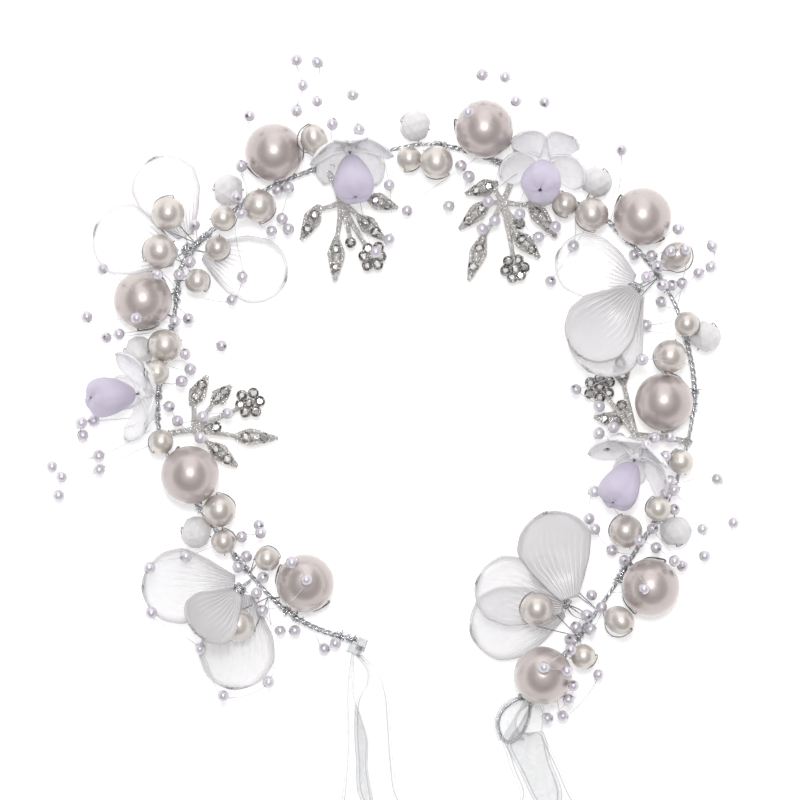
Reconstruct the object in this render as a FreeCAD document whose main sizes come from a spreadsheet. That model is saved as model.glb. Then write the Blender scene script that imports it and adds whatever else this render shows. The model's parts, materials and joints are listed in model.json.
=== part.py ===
import FreeCAD, Part
import math
import os
import Sketcher

from FreeCAD import Placement, Rotation, Vector

# Bridal flower crown: a twisted wire band, open at the back, that carries pearls,
# frosted beads, ribbed petals, bell flowers, jewelled leaf sprays and loops of clear
# nylon with seed beads. An organza ribbon is tied to each end of the band.
# Millimetres. The crown lies flat: +Z up, z = 0 is the table, the origin is the middle
# of the head opening, and the opening at the back of the head faces -Y.

SIZES = [
    ("band_wire", 1.2, "diameter of the bare twisted band"),
    ("binding", 2.2, "diameter of the band where binding wire covers it"),
    ("band_height", 2.5, "height of the band's centre line over the table"),
    ("flex_gap", 0.6, "bare gap between the two halves at the flex point"),
    ("big_pearl", 14.0, "diameter"),
    ("mid_pearl", 8.0, "diameter"),
    ("small_pearl", 6.0, "diameter"),
    ("rice_length", 8.0, "oval pearl along its bore"),
    ("rice_width", 6.5, "oval pearl across its bore"),
    ("frosted_bead", 8.0, "faceted bead across its corners"),
    ("frosted_depth", 6.6, "faceted bead along its bore"),
    ("frosted_bevel", 1.6, "bevel that makes the outer facets"),
    ("seed_bead", 2.8, "diameter"),
    ("pearl_bore", 0.64, "bore of a big pearl"),
    ("bead_bore", 1.0, "bore of the other beads"),
    ("seed_bore", 0.8, "bore of a seed bead"),
    ("pearl_wire", 0.5, "wire through a big pearl"),
    ("stem_wire", 0.5, "wire through the other beads"),
    ("nylon", 0.3, "clear nylon line"),
    ("pearl_gap", 0.4, "clear space between a big pearl and the bound band"),
    ("pearl_reach", 1.3, "how far a pearl's wire stands out of its bore before it bends"),
    ("touch_gap", 0.02, "clear space where a wire is pressed on the band"),
    ("petal_length", 21.0, "large petal"),
    ("petal_width", 16.0, "large petal"),
    ("petal_bowl", 17.0, "radius of a large petal's bowl"),
    ("petal_wall", 0.45, "thickness of a large petal"),
    ("sepal_length", 9.0, "petal of a flower cap"),
    ("sepal_width", 6.2, "petal of a flower cap"),
    ("sepal_bowl", 7.5, "radius of a cap petal's bowl"),
    ("sepal_wall", 0.5, "thickness of a cap petal"),
    ("cap_hub", 3.0, "diameter of a flower cap's middle"),
    ("cap_hub_wall", 1.0, "thickness of a flower cap's middle"),
    ("sepal_reach", 0.8, "distance from the cap's middle to a cap petal's foot"),
    ("sepal_rise", 32.0, "degrees that a cap petal rises"),
    ("bell_length", 12.0, "bell of a flower"),
    ("bell_mouth", 9.6, "widest diameter of a bell"),
    ("bell_wall", 0.8, "thickness of a bell"),
    ("bell_seat", 2.4, "distance from the cap's middle to the bell"),
    ("pin_wire", 0.6, "head pin through a flower"),
    ("pin_end", 2.4, "length of head pin inside the bell"),
    ("leaf_width", 3.6, "cast leaf at its widest"),
    ("leaf_wall", 0.9, "thickness of a cast leaf"),
    ("vein", 1.1, "diameter of a spray's cast stalks"),
    ("fork_ball", 1.54, "ball where a leaf spray's stalks meet"),
    ("stone", 2.2, "diameter of a rhinestone"),
    ("stone_rise", 0.9, "height of a rhinestone over its cup"),
    ("stone_cup", 2.7, "diameter of a stone's cup"),
    ("cup_depth", 1.5, "height of a stone's cup"),
    ("loop_wire", 1.0, "wire of the ribbon eyelet"),
    ("ribbon_wall", 0.3, "thickness of a ribbon tail as it lies"),
    ("fold_depth", 3.0, "height of a folded ribbon tail"),
]

# Centre lines of the two halves of the band, from the flex point to the ribbon.
BAND = {
    "left": [
        (-8.5, 60.5), (-20.5, 58), (-30, 54.9), (-39.5, 51), (-47, 46), (-53, 40.5),
        (-58, 36), (-60.5, 31), (-61, 24), (-62, 18), (-63.5, 11), (-65.5, 2.5), (-66, -5),
        (-63.5, -13), (-60.5, -20.5), (-55.5, -26), (-52, -30.5), (-48, -36.5),
        (-42.5, -43), (-37, -49), (-31, -53.5), (-24, -56.5), (-17.5, -58),
    ],
    "right": [
        (-8.5, 60.5), (-1.5, 62), (6, 61), (14, 58.3), (21, 55.5), (29.5, 50.5), (36.5, 47),
        (43.5, 43), (50, 36.5), (54.4, 31.2), (58, 25.5), (60.5, 20), (62.5, 12), (64, 4),
        (63.5, -4), (62, -11), (60, -18.5), (57, -25), (53, -31.5), (48.5, -38), (44.5, -45),
        (39.5, -52), (34, -60), (28, -66), (22.5, -70.5),
    ],
}

BIG_PEARLS = {
    "left": [
        ("front", -37.5, 59.5), ("side", -69, 24), ("temple", -57.5, -18), ("end", -30, -44),
    ],
    "right": [
        ("front", 13, 65), ("corner", 51, 44), ("side", 56.2, -0.5), ("temple", 53, -45),
        ("end", 27, -66),
    ],
}

# Places of the strung beads: x, y, z of each centre.
MID_PEARLS = {
    "left": [
        (-62.5, 44.5, 16.2), (-64.5, 35.5, 16.2), (-41, 46.5, 9), (-63.5, 13, 10),
        (-50.5, -26.5, 9), (-46, -54, 9.5),
    ],
    "right": [
        (1.5, 57, 9.5), (38.8, 44.5, 9.2), (57.5, 10.5, 10.3), (47, -31.5, 8), (25.5, -50, 12.6),
        (46, 23.8, 4.1), (27.8, -41.6, 4.3),
    ],
}
SMALL_PEARLS = {
    "left": [
        (-51, 36.5, 8), (-55.8, 28.5, 9), (-49.5, 43.5, 12), (-65.3, 6.6, 12.5),
        (-64.5, -10, 9), (-49.5, -34, 9), (-39, -38, 10.8),
    ],
    "right": [
        (-5, 58, 6.5), (61.5, 18.2, 10.7), (32.4, 47, 7.2), (60.2, -14.8, 9), (36.8, -61.5, 9),
        (54.5, -26, 13),
    ],
}
RICE_PEARLS = {"left": [(-27.7, 62.3, 11.5)], "right": [(59, 34.5, 9), (45.3, -52.7, 11.4)]}
FROSTED_BEADS = {
    "left": [(-48.5, 50.5, 5.5), (-70, 11.5, 4.6), (-56.2, -31.8, 6)],
    "right": [(-3.6, 66, 6), (23.6, 61.3, 4.3), (40, 52.5, 6), (66.2, 15.3, 6), (59, -31.5, 7)],
}

# Large petals: cluster, then for each petal its heading, its rise, its size and the
# place of its foot.
PETAL_CLUSTERS = [
    ("front_left",
     [(112, 14, 1.0, (-58.7, 39.1, 5)), (161, 24, 1.05, (-60.7, 33.9, 11.7)),
      (-19, 4, 1.0, (-54.4, 35.6, 5.4))]),
    ("front_right",
     [(161, 8, 0.95, (48.9, 28.2, 11.2)), (225, 12, 1.02, (49.4, 26.1, 13.8)),
      (236, 22, 1.15, (49.7, 25.8, 9.7))]),
    ("back_left",
     [(225, 44, 0.88, (-46, -45.9, 12)), (181, 16, 1.1, (-46.6, -44.5, 6.8)),
      (264, 14, 1.12, (-44.8, -46.5, 5.4))]),
    ("back_right",
     [(106, 16, 1.08, (33.4, -47.7, 11.6)), (166, 8, 1.05, (32.1, -49.1, 10.4)),
      (195, 3, 1.1, (32.1, -50.1, 5.6))]),
]

# Bell flowers: name, side, cap x, y, z, direction the bell faces, turn of the cap.
FLOWERS = [
    ("front_left", "left", (-19.3, 60.3, 9), (0.1, -0.82, 0.5), 20),
    ("front_right", "right", (27.5, 57.5, 7.5), (-0.1, -0.55, 0.85), 50),
    ("side_left", "left", (-69, 1.6, 8), (-0.83, -0.08, 0.5), 36),
    ("side_right", "right", (49.5, -13.5, 9), (-0.42, -0.78, 0.45), 30),
]

# Jewelled sprays: name, side, foot on the band, fork, leaves (base and tip), berry
# cluster with its number of stones and its heading, and single stones.
SPRAYS = [
    ("front_left", "left", (-25.5, 56.3), (-21.5, 47.5),
     [((-26.5, 47), (-31, 38.4)), ((-22.5, 39.5), (-22.8, 28.4)),
      ((-17.5, 44.5), (-10.8, 38.5)), ((-15.5, 48.8), (-7.6, 46.2))],
     (-13.8, 34.5), 7, -60, [(-19, 37.9)]),
    ("front_right", "right", (20.5, 55.7), (17.5, 47.5),
     [((16.5, 52.2), (8.5, 49.5)), ((14.5, 48), (7, 41)), ((13.2, 40), (9.3, 28.6)),
      ((20, 40.5), (26.5, 34.2)), ((23.5, 48), (30.5, 39))],
     (20.5, 31.5), 7, -50, [(21.5, 42.5)]),
    ("side_left", "left", (-64.2, -8.5), (-57, -7.2),
     [((-57.5, -1.5), (-53.5, 6)), ((-52.5, -1), (-47.8, 3.5)), ((-47.5, -8.8), (-36.5, -9.2)),
      ((-53.5, -10.2), (-46.3, -16))],
     (-43.5, -0.8), 7, 10, [(-51.5, -6.6)]),
    ("side_right", "right", (62, -9.8), (49.5, -8.4),
     [((46.6, 3.5), (45.4, 11.5)), ((47.5, -5), (39.4, -4.2)), ((47.5, -9.8), (40.2, -11.6))],
     (40.8, 3), 7, 150, [(46.2, -1.2)]),
]
SPRAY_HEIGHT = 4.6

# Loops of nylon: the ends are tied to the band and a seed bead sits on every point
# between them, except where a point ends in 0, which is a bare bend.
NYLON_LOOPS = {
    "left": [
        [(-30, 55, 3), (-32, 69.5, 8), (-30.5, 75.5, 9), (-32, 81.5, 10), (-27, 81, 9),
         (-27, 71.5, 12), (-25, 56.5, 4)],
        [(-22.5, 57.4, 3), (-23.4, 66, 13), (-18.5, 73, 12), (-17, 64.5, 16), (-13, 59.7, 3)],
        [(-43.5, 48.5, 3), (-45.2, 56, 11), (-43.2, 68, 12), (-45.4, 60, 13, 0),
         (-44, 50, 9, 0), (-45, 47.3, 3)],
        [(-38, 51.8, 3), (-36.5, 50.5, 7), (-34, 51, 8), (-35.5, 43.5, 8), (-34, 41, 8),
         (-38, 40.5, 9), (-46.3, 46.6, 3)],
        [(-15, 59.4, 3), (-12.5, 60.5, 6), (-9.8, 51.5, 10), (-9.8, 38.5, 9), (-13, 35.5, 9),
         (-19, 58.5, 3)],
        [(-50, 43.5, 3), (-46.3, 48.5, 14), (-45, 44.5, 15), (-46, 47, 3)],
        [(-56, 38, 3), (-56.5, 42, 8), (-57.5, 33, 11.5), (-60, 30, 13), (-60.5, 31, 3)],
        [(-61, 27, 3), (-65, 30, 17), (-71.5, 27.2, 16, 0), (-78.5, 31.5, 9), (-82.5, 20, 6),
         (-70, 19.5, 15.6), (-61.2, 18.5, 13, 0), (-61.5, 21, 3)],
        [(-62, 17.5, 3), (-74.5, 15.8, 11), (-77.8, 15, 7), (-63.2, 16.6, 3)],
        [(-61.2, 23, 3), (-58, 19.5, 7), (-61, 18.8, 12), (-58.5, 11, 13),
         (-59, 9.5, 8, 0), (-64, 9.6, 3)],
        [(-61, 26, 3), (-47.5, 24, 8), (-45, 29.5, 9), (-46.3, 38, 11, 0), (-47.2, 45.8, 3)],
        [(-64, 8.5, 3), (-57.5, 7.4, 9), (-50, 13, 8), (-59.5, 4.5, 11), (-65, 4, 3)],
        [(-66, -2.8, 3), (-73, -4.4, 2.2, 0), (-80.8, -5, 6), (-83.6, -5.5, 8.2), (-83.4, -8.5, 7),
         (-66, -4.6, 3)],
        [(-65.8, -6.5, 3), (-79.5, -13.5, 8), (-91, -16, 4), (-88.6, -18.5, 5),
         (-89.4, -23, 4), (-79.5, -16.8, 6), (-64.6, -9.5, 3)],
        [(-65.9, -1.5, 3), (-62.5, -1.5, 9), (-60.5, -5, 10), (-55, -9, 11), (-54.5, -4, 10),
         (-48.5, -3.2, 11), (-65.5, -6.8, 3)],
        [(-49.5, -34.4, 3), (-58.5, -37.5, 9), (-67, -40, 15), (-66.5, -50.8, 15.5),
         (-55, -59.5, 12.5), (-49.5, -70.8, 12), (-38.6, -67.5, 12), (-39, -47, 3)],
        [(-50.5, -32.7, 3), (-41, -30, 9), (-40.5, -31.8, 12), (-45.1, -32.8, 10),
         (-44, -37.5, 9), (-46, -40, 9), (-44.5, -41, 3)],
        [(-40.5, -45.3, 3), (-40, -42.5, 12), (-33, -38.8, 15.5), (-29.5, -42.8, 17),
         (-34, -48.5, 15.5, 0), (-40, -50, 9, 0), (-38, -47.8, 3)],
        [(-41.5, -44.2, 3), (-41.6, -46.3, 10.5), (-40.2, -50.5, 9), (-36, -55.5, 6),
         (-32.5, -55.5, 6), (-29.5, -54.2, 3)],
        [(-28.5, -54.6, 3), (-25.5, -60, 3), (-22.8, -58.6, 5), (-21, -57.4, 3)],
    ],
    "right": [
        [(4, 61.5, 3), (4.5, 65, 9, 0), (9, 68.5, 17.5), (12.5, 78, 9), (18, 77.5, 9),
         (27.5, 71.5, 9), (20.5, 71.5, 13), (19, 61, 15, 0), (18.3, 56.7, 3)],
        [(3.5, 61.5, 3), (7.4, 56.2, 8), (9.3, 53.6, 8), (4.5, 46.5, 8), (-5.5, 45.5, 6),
         (12, 59, 3)],
        [(22, 54.8, 3), (19.5, 53.5, 7.5, 0), (14, 47.5, 9.5), (15.5, 43, 9), (12.5, 41, 9),
         (15.8, 53, 9.5, 0), (17, 57.2, 3)],
        [(24, 53.8, 3), (21.5, 44.5, 10), (26, 39, 9), (30, 41.5, 9), (28.3, 51.4, 3)],
        [(35, 47.8, 3), (34.5, 37, 6), (29, 28.5, 6), (40, 45, 3)],
        [(43.5, 43, 3), (45.6, 52, 7, 0), (46, 60, 8), (44.8, 52, 9, 0), (42, 43.8, 3)],
        [(52, 33.8, 3), (59.5, 41, 10), (67.8, 37, 8), (67.5, 32, 8), (64.5, 30.5, 8),
         (58.6, 24.3, 3)],
        [(53.5, 32.4, 3), (54.4, 35, 11, 0), (57.5, 35.5, 14.2), (61, 36, 14.2), (60.5, 28, 9),
         (59.5, 22.2, 3)],
        [(50.5, 36, 3), (49, 34.8, 7.5), (53.2, 34.6, 8), (54.5, 32, 12), (51.5, 29.3, 17),
         (55.5, 27.5, 14), (58, 27.5, 10), (55.5, 23.5, 9), (59.8, 21.6, 3)],
        [(60.7, 19.4, 3), (52, 18, 5), (35, 18.5, 6), (61.6, 15.6, 3)],
        [(63.3, 8.5, 3), (62.6, 8.2, 11.5, 0), (58.2, 9, 17.5, 0), (50.5, 9.6, 17), (44, 6, 19.8, 0),
         (38, 3.2, 15, 0), (35, 2.5, 8), (40.5, -1.5, 9), (44, -6.5, 9), (40.5, -8, 8),
         (45.4, -9.2, 10.5), (62.2, -10.2, 3)],
        [(61.6, -12.4, 3), (57.5, -8.8, 10), (53.6, -9, 12.5), (51.5, -10.6, 15), (56.4, -13.5, 11),
         (62.8, -8.2, 3)],
        [(60.4, -17, 3), (57.5, -19.5, 9), (56.4, -22.6, 8.6), (58.4, -21.5, 12), (57, -24, 3)],
        [(57.8, -23.3, 3), (53.4, -30.8, 9), (58.6, -26.2, 9.5), (50, -33.5, 13.4),
         (51.8, -33.3, 3)],
        [(51, -34.4, 3), (39.5, -22, 6), (38.2, -28.5, 6), (39.5, -31, 8), (43.8, -36.2, 4.5),
         (49, -37.3, 3)],
        [(59.3, -20, 3), (69, -19, 7), (73, -29.5, 6), (66, -37.5, 7), (65.5, -31, 7),
         (58.6, -21.6, 3)],
        [(51.3, -34, 3), (54.2, -35.4, 9), (58.5, -38.5, 12), (60.5, -39.8, 9),
         (53.4, -31, 3)],
        [(47.3, -40.1, 3), (46.6, -38.5, 8), (51, -45, 16.5), (44, -46, 14, 0), (43.5, -46.8, 3)],
        [(42.8, -47.4, 3), (38.8, -46.8, 8), (41.2, -49.8, 8), (38.5, -55, 9), (35, -54.5, 9),
         (37.5, -51.5, 12), (33.5, -57.5, 8), (36.4, -56.5, 3)],
        [(35, -58.5, 3), (33.5, -59.5, 16), (27, -63.5, 20.5), (32.5, -64.5, 18),
         (34.2, -68.2, 15), (33.2, -71.8, 10), (28.2, -76.4, 8), (25, -68.4, 3)],
        [(37.8, -54.5, 3), (40.5, -66, 7), (32, -76, 5), (30, -64, 3)],
    ],
}

# The ribbon eyelet at the right end, and the ribbons. A tail is given by its left and
# right edges from the band to the fold, and the fold by its two corners.
EYELET = [
    (22.3, -71.6), (18.3, -73.2), (15.8, -78.3), (18.3, -83.4), (22.3, -81), (24.8, -74.6),
    (23.6, -71.6),
]
RIBBONS = {
    "left": [
        ([(-18.8, -61.5), (-20, -69), (-20, -80), (-19.6, -87), (-21.6, -100)],
         [(-18, -61.5), (-18, -69), (-15.8, -78), (-14.8, -86), (-13.2, -100)], 0.15),
        ([(-17.6, -61.5), (-17, -70), (-18.5, -84), (-16.8, -100)],
         [(-15.6, -61.5), (-11.4, -69), (-9.6, -80), (-6.8, -100)], 0.6),
    ],
    "right": [
        ([(17.6, -84.2), (19.5, -90), (23, -100)], [(27.2, -82), (29.5, -87), (33, -100)], 0.15),
        ([(19.2, -84.2), (21, -90), (24.5, -100)], [(27.6, -80), (31.5, -88), (36, -100)], 0.6),
    ],
}
SLEEVE = (0.46, 0.54)
PEARL_FOOT = 0.62
FOLDS = {
    "left": [((-22.5, -148), (-12.5, -100.3)), ((-11.5, -148), (-1.5, -100.3))],
    "right": [((18, -148), (28, -100.3)), ((29, -148), (39, -100.3))],
}
KNOT = {
    "left": ((-19.4, -61.3, 0.5), (4.2, 2.6, 4.5)),
    "right": ((22.8, -81, 3.4), (4.6, 7.6, 0.9)),
}

UP = Vector(0, 0, 1)
PARTS = []


def make_sheet(doc):
    """The driving dimensions."""
    sheet = doc.addObject("Spreadsheet::Sheet", "sizes")
    for row, (alias, value, note) in enumerate(SIZES, start=1):
        sheet.set("A%d" % row, note)
        sheet.set("B%d" % row, str(value))
        sheet.setAlias("B%d" % row, alias)
    doc.recompute()
    return sheet


def add(doc, kind, name, bound=(), **settings):
    """A document object with plain settings and properties bound to the sheet."""
    obj = doc.addObject(kind, name)
    for key, value in settings.items():
        setattr(obj, key, value)
    for prop, rule in bound:
        obj.setExpression(prop, rule)
    return obj


def part(obj, label):
    """Marks an object as a sub-part and gives it the name of its file."""
    obj.Label = label
    PARTS.append(obj)
    return obj


def shaped(doc, label, shape):
    """A sub-part whose shape is made with Part's own functions."""
    return part(add(doc, "Part::Feature", label, Shape=shape), label)


# ---------------------------------------------------------------- the band as a line


class Line:
    """A run of straight lines through points, to find places along the band."""

    def __init__(self, points, height):
        self.points = [Vector(x, y, height) for x, y in points]

    def runs(self):
        return list(zip(self.points, self.points[1:]))

    def nearest(self, place):
        """The point of the line closest to a place, seen from above, and its direction."""
        best = None
        for start, end in self.runs():
            along = (end - start).normalize()
            reach = (Vector(place.x, place.y, start.z) - start).dot(along)
            spot = start + along * min(max(reach, 0), (end - start).Length)
            gap = math.hypot(place.x - spot.x, place.y - spot.y)
            if best is None or gap < best[0]:
                best = (gap, spot, along)
        return best


def tube(points, diameter):
    """A round wire along straight runs joined by tangent arcs."""
    corners = [Vector(*point[:3]) for point in points]
    edges = []
    last = corners[0]
    radii = []
    for before, corner, after in zip(corners, corners[1:], corners[2:]):
        back = (before - corner).normalize()
        ahead = (after - corner).normalize()
        half_turn = (math.pi - back.getAngle(ahead)) / 2
        shorter = min((before - corner).Length, (after - corner).Length)
        trim = 0.45 * shorter
        radius = trim / math.tan(half_turn)
        radii.append(radius)
        bisector = (back + ahead).normalize()
        centre = corner + bisector * (radius / math.cos(half_turn))
        middle = centre - bisector * radius
        start = corner + back * trim
        end = corner + ahead * trim
        edges.append(Part.LineSegment(last, start).toShape())
        edges.append(Part.Arc(start, middle, end).toShape())
        last = end
    edges.append(Part.LineSegment(last, corners[-1]).toShape())
    path = Part.Wire(edges)
    profile = Part.Wire(Part.makeCircle(diameter / 2, corners[0], corners[1] - corners[0]))
    solid = path.makePipeShell([profile], True, False)
    exact = math.pi * diameter ** 2 / 4 * path.Length
    if abs(solid.Volume - exact) > 0.02 * exact:
        raise ValueError("a tube has the wrong volume: %.3f, not %.3f" % (solid.Volume, exact))
    return solid, min(radii) if radii else None


def rod(start, end, diameter):
    """A straight round rod."""
    run = end - start
    return Part.makeCylinder(diameter / 2, run.Length, start, run)


def group(shapes):
    return Part.makeCompound(shapes)


# ---------------------------------------------------------------- forms used many times


def drilled(doc, name, blank, bore, depth):
    """A blank bead with its bore along Z."""
    drill = add(doc, "Part::Cylinder", name + "_drill", [
        ("Radius", "sizes.%s / 2" % bore),
        ("Height", "sizes.%s * 2" % depth),
        ("Placement.Base.z", "-sizes.%s" % depth),
    ])
    return add(doc, "Part::Cut", name, Base=blank, Tool=drill)


def round_bead(doc, name, diameter, bore):
    ball = add(doc, "Part::Sphere", name + "_ball", [("Radius", "sizes.%s / 2" % diameter)])
    return drilled(doc, name, ball, bore, diameter)


def rice_bead(doc):
    blank = add(doc, "Part::Ellipsoid", "rice_blank", [
        ("Radius1", "sizes.rice_length / 2"),
        ("Radius2", "sizes.rice_width / 2"),
        ("Radius3", "sizes.rice_width / 2"),
    ])
    return drilled(doc, "rice_form", blank, "bead_bore", "rice_length")


def faceted_bead(doc):
    """Eight flats round the bore, bevelled at both ends."""
    prism = add(doc, "Part::Prism", "frosted_prism", [
        ("Circumradius", "sizes.frosted_bead / 2"),
        ("Height", "sizes.frosted_depth"),
        ("Placement.Base.z", "-sizes.frosted_depth / 2"),
    ], Polygon=8)
    doc.recompute()
    bevel = doc.sizes.frosted_bevel
    level = [
        number for number, edge in enumerate(prism.Shape.Edges, start=1)
        if abs(edge.Vertexes[0].Z - edge.Vertexes[1].Z) < 0.001
    ]
    bevelled = add(doc, "Part::Chamfer", "frosted_bevelled", Base=prism)
    bevelled.Edges = [(number, bevel, bevel) for number in level]
    return drilled(doc, "frosted_form", bevelled, "bead_bore", "frosted_bead")


def stone_form(doc):
    """A cut stone: a cone under a flat table."""
    return add(doc, "Part::Cone", "stone_form", [
        ("Radius1", "sizes.stone / 2"),
        ("Radius2", "sizes.stone / 4"),
        ("Height", "sizes.stone_rise"),
    ])


def profile_body(doc, name, corners):
    """A turned body: a closed outline of driven corners, revolved about Z."""
    body = doc.addObject("PartDesign::Body", name)
    sketch = body.newObject("Sketcher::SketchObject", name + "_outline")
    plane = [item for item in body.Origin.OriginFeatures if item.Role == "XZ_Plane"][0]
    sketch.AttachmentSupport = (plane, [""])
    sketch.MapMode = "FlatFace"
    count = len(corners)
    for place in range(count):
        x, y = (5.0 + place, 1.0 + place)
        sketch.addGeometry(Part.LineSegment(Vector(x, y, 0), Vector(x + 1, y + 1, 0)), False)
    for place in range(count):
        sketch.addConstraint(Sketcher.Constraint("Coincident", place, 2, (place + 1) % count, 1))
    for place, (across, along) in enumerate(corners):
        for kind, rule in (("DistanceX", across), ("DistanceY", along)):
            index = sketch.addConstraint(Sketcher.Constraint(kind, place, 1, 1.0 + place))
            sketch.setExpression("Constraints[%d]" % index, rule)
    doc.recompute()
    turned = body.newObject("PartDesign::Revolution", name + "_turned")
    turned.Profile = sketch
    turned.ReferenceAxis = (sketch, ["V_Axis"])
    turned.Angle = 360
    body.Tip = turned
    doc.recompute()
    return body


def bell_body(doc, name):
    """A hollow bell, closed round its bore at the bottom, open at the top."""
    return profile_body(doc, name, [
        ("sizes.seed_bore / 2", "sizes.bell_wall"),
        ("sizes.seed_bore / 2", "sizes.bell_wall * 2"),
        ("sizes.bell_mouth * 0.2", "sizes.bell_wall * 2.4"),
        ("sizes.bell_mouth * 0.46 - sizes.bell_wall", "sizes.bell_length * 0.45"),
        ("sizes.bell_mouth * 0.5 - sizes.bell_wall", "sizes.bell_length * 0.75"),
        ("sizes.bell_mouth * 0.46 - sizes.bell_wall", "sizes.bell_length"),
        ("sizes.bell_mouth * 0.46", "sizes.bell_length"),
        ("sizes.bell_mouth * 0.5", "sizes.bell_length * 0.75"),
        ("sizes.bell_mouth * 0.46", "sizes.bell_length * 0.4"),
        ("sizes.bell_mouth * 0.26", "sizes.bell_wall"),
    ])


def petal_blank(length, width, bowl, wall):
    """A bowl-shaped petal with its base at the origin and its tip on +X."""
    foot = width * 0.12
    wide = length * 0.62
    base = [Vector(0, -foot, 0), Vector(0, foot, 0)]
    flank = [Vector(wide, -width / 2, 0), Vector(wide, width / 2, 0)]
    sides = [
        Part.Arc(base[0], Vector(wide * 0.5, -width * 0.4, 0), flank[0]),
        Part.Arc(flank[0], Vector(length, 0, 0), flank[1]),
        Part.Arc(flank[1], Vector(wide * 0.5, width * 0.4, 0), base[1]),
        Part.LineSegment(base[1], base[0]),
    ]
    outline = Part.Face(Part.Wire([side.toShape() for side in sides]))
    column = outline.extrude(Vector(0, 0, bowl))
    column.translate(Vector(0, 0, -bowl * 0.6))
    rise = math.sqrt(bowl ** 2 - (length / 2) ** 2)
    middle = Vector(length / 2, 0, rise)
    skin = Part.makeSphere(bowl + wall / 2, middle).cut(Part.makeSphere(bowl - wall / 2, middle))
    return skin.common(column).Solids[0]


# ---------------------------------------------------------------- sub-parts


def band_half(doc, side):
    """One half of the twisted band, as a single round wire, and its binding."""
    sizes = doc.sizes
    points = [(x, y, sizes.band_height) for x, y in BAND[side]]
    start, second = Vector(*points[0]), Vector(*points[1])
    start += (second - start).normalize() * (sizes.flex_gap / 2)
    points[0] = tuple(start)
    wire, radius = tube(points, sizes.band_wire)
    print("band_%s smallest bend %.1f mm" % (side, radius))
    shaped(doc, "band_wire_" + side, wire)
    sleeves = []
    for place, (begin, end) in enumerate(Line(BAND[side], sizes.band_height).runs()):
        if place % 2 == 1:
            run = end - begin
            sleeve = rod(begin + run * SLEEVE[0], begin + run * SLEEVE[1], sizes.binding)
            sleeves.append(sleeve.cut(rod(begin, end, sizes.band_wire + sizes.touch_gap)))
    shaped(doc, "binding_wire_" + side, group(sleeves))


def pearl_centre(doc, line, x, y):
    """A big pearl rests on the table, or over the band where the two cross."""
    sizes = doc.sizes
    gap, spot, along = line.nearest(Vector(x, y, 0))
    reach = sizes.big_pearl / 2 + sizes.binding / 2 + sizes.pearl_gap
    height = sizes.big_pearl / 2
    if gap < reach:
        height = max(height, sizes.band_height + math.sqrt(reach ** 2 - gap ** 2))
    return Vector(x, y, height), spot, along


def big_pearls(doc, side, line):
    """Each big pearl turns on a wire that runs along the band and back to it."""
    sizes = doc.sizes
    wires = []
    for name, x, y in BIG_PEARLS[side]:
        centre, spot, along = pearl_centre(doc, line, x, y)
        label = "pearl_%s_%s" % (name, side)
        pearl = round_bead(doc, label, "big_pearl", "pearl_bore")
        pearl.Placement = Placement(centre, Rotation(UP, along))
        part(pearl, label)
        out = sizes.big_pearl / 2 + sizes.pearl_reach
        foot = along * (out * PEARL_FOOT)
        seat = spot + UP * ((sizes.band_wire + sizes.pearl_wire) / 2 + sizes.touch_gap)
        route = [seat - foot, centre - along * out, centre + along * out, seat + foot]
        wires.append(pearl_wire(route, sizes.pearl_wire))
        axis = "axis (%.4f, %.4f, 0)" % (along.x, along.y)
        print("%s centre (%.2f, %.2f, %.2f) %s" % (label, centre.x, centre.y, centre.z, axis))
    shaped(doc, "pearl_wires_" + side, group(wires))


def pearl_wire(route, diameter):
    """A wire bent sharply where it leaves the pearl at each end of the bore."""
    bend = diameter * 1.2
    first, left, right, last = route
    edges = []
    start = first
    for before, corner, after in ((first, left, right), (left, right, last)):
        back = (before - corner).normalize()
        ahead = (after - corner).normalize()
        half_turn = (math.pi - back.getAngle(ahead)) / 2
        trim = bend * math.tan(half_turn)
        bisector = (back + ahead).normalize()
        middle = corner + bisector * (bend / math.cos(half_turn) - bend)
        edges.append(Part.LineSegment(start, corner + back * trim).toShape())
        edges.append(Part.Arc(corner + back * trim, middle, corner + ahead * trim).toShape())
        start = corner + ahead * trim
    edges.append(Part.LineSegment(start, last).toShape())
    profile = Part.Wire(Part.makeCircle(diameter / 2, first, left - first))
    return Part.Wire(edges).makePipeShell([profile], True, False)


def strung(doc, label, form, places, line, stems, half):
    """A group of equal beads, each on a straight stem from the band."""
    beads = []
    for place in places:
        centre = Vector(*place)
        spot = line.nearest(centre)[1]
        along = (centre - spot).normalize()
        bead = form.Shape.copy()
        bead.Placement = Placement(centre, Rotation(UP, along))
        beads.append(bead)
        start = spot + along * (doc.sizes.band_wire / 2 + doc.sizes.touch_gap)
        stems.append(rod(start, centre + along * (half + doc.sizes.stem_wire), doc.sizes.stem_wire))
    shaped(doc, label, group(beads))


def beads_on_stems(doc, side, line, forms):
    sizes = doc.sizes
    stems = []
    strung(doc, "cream_pearls_" + side, forms["mid"], MID_PEARLS[side], line, stems, sizes.mid_pearl / 2)
    strung(doc, "small_pearls_" + side, forms["small"], SMALL_PEARLS[side], line, stems,
           sizes.small_pearl / 2)
    strung(doc, "rice_pearls_" + side, forms["rice"], RICE_PEARLS[side], line, stems,
           sizes.rice_length / 2)
    strung(doc, "frosted_beads_" + side, forms["frosted"], FROSTED_BEADS[side], line, stems,
           sizes.frosted_depth / 2)
    shaped(doc, "bead_stems_" + side, group(stems))


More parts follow.
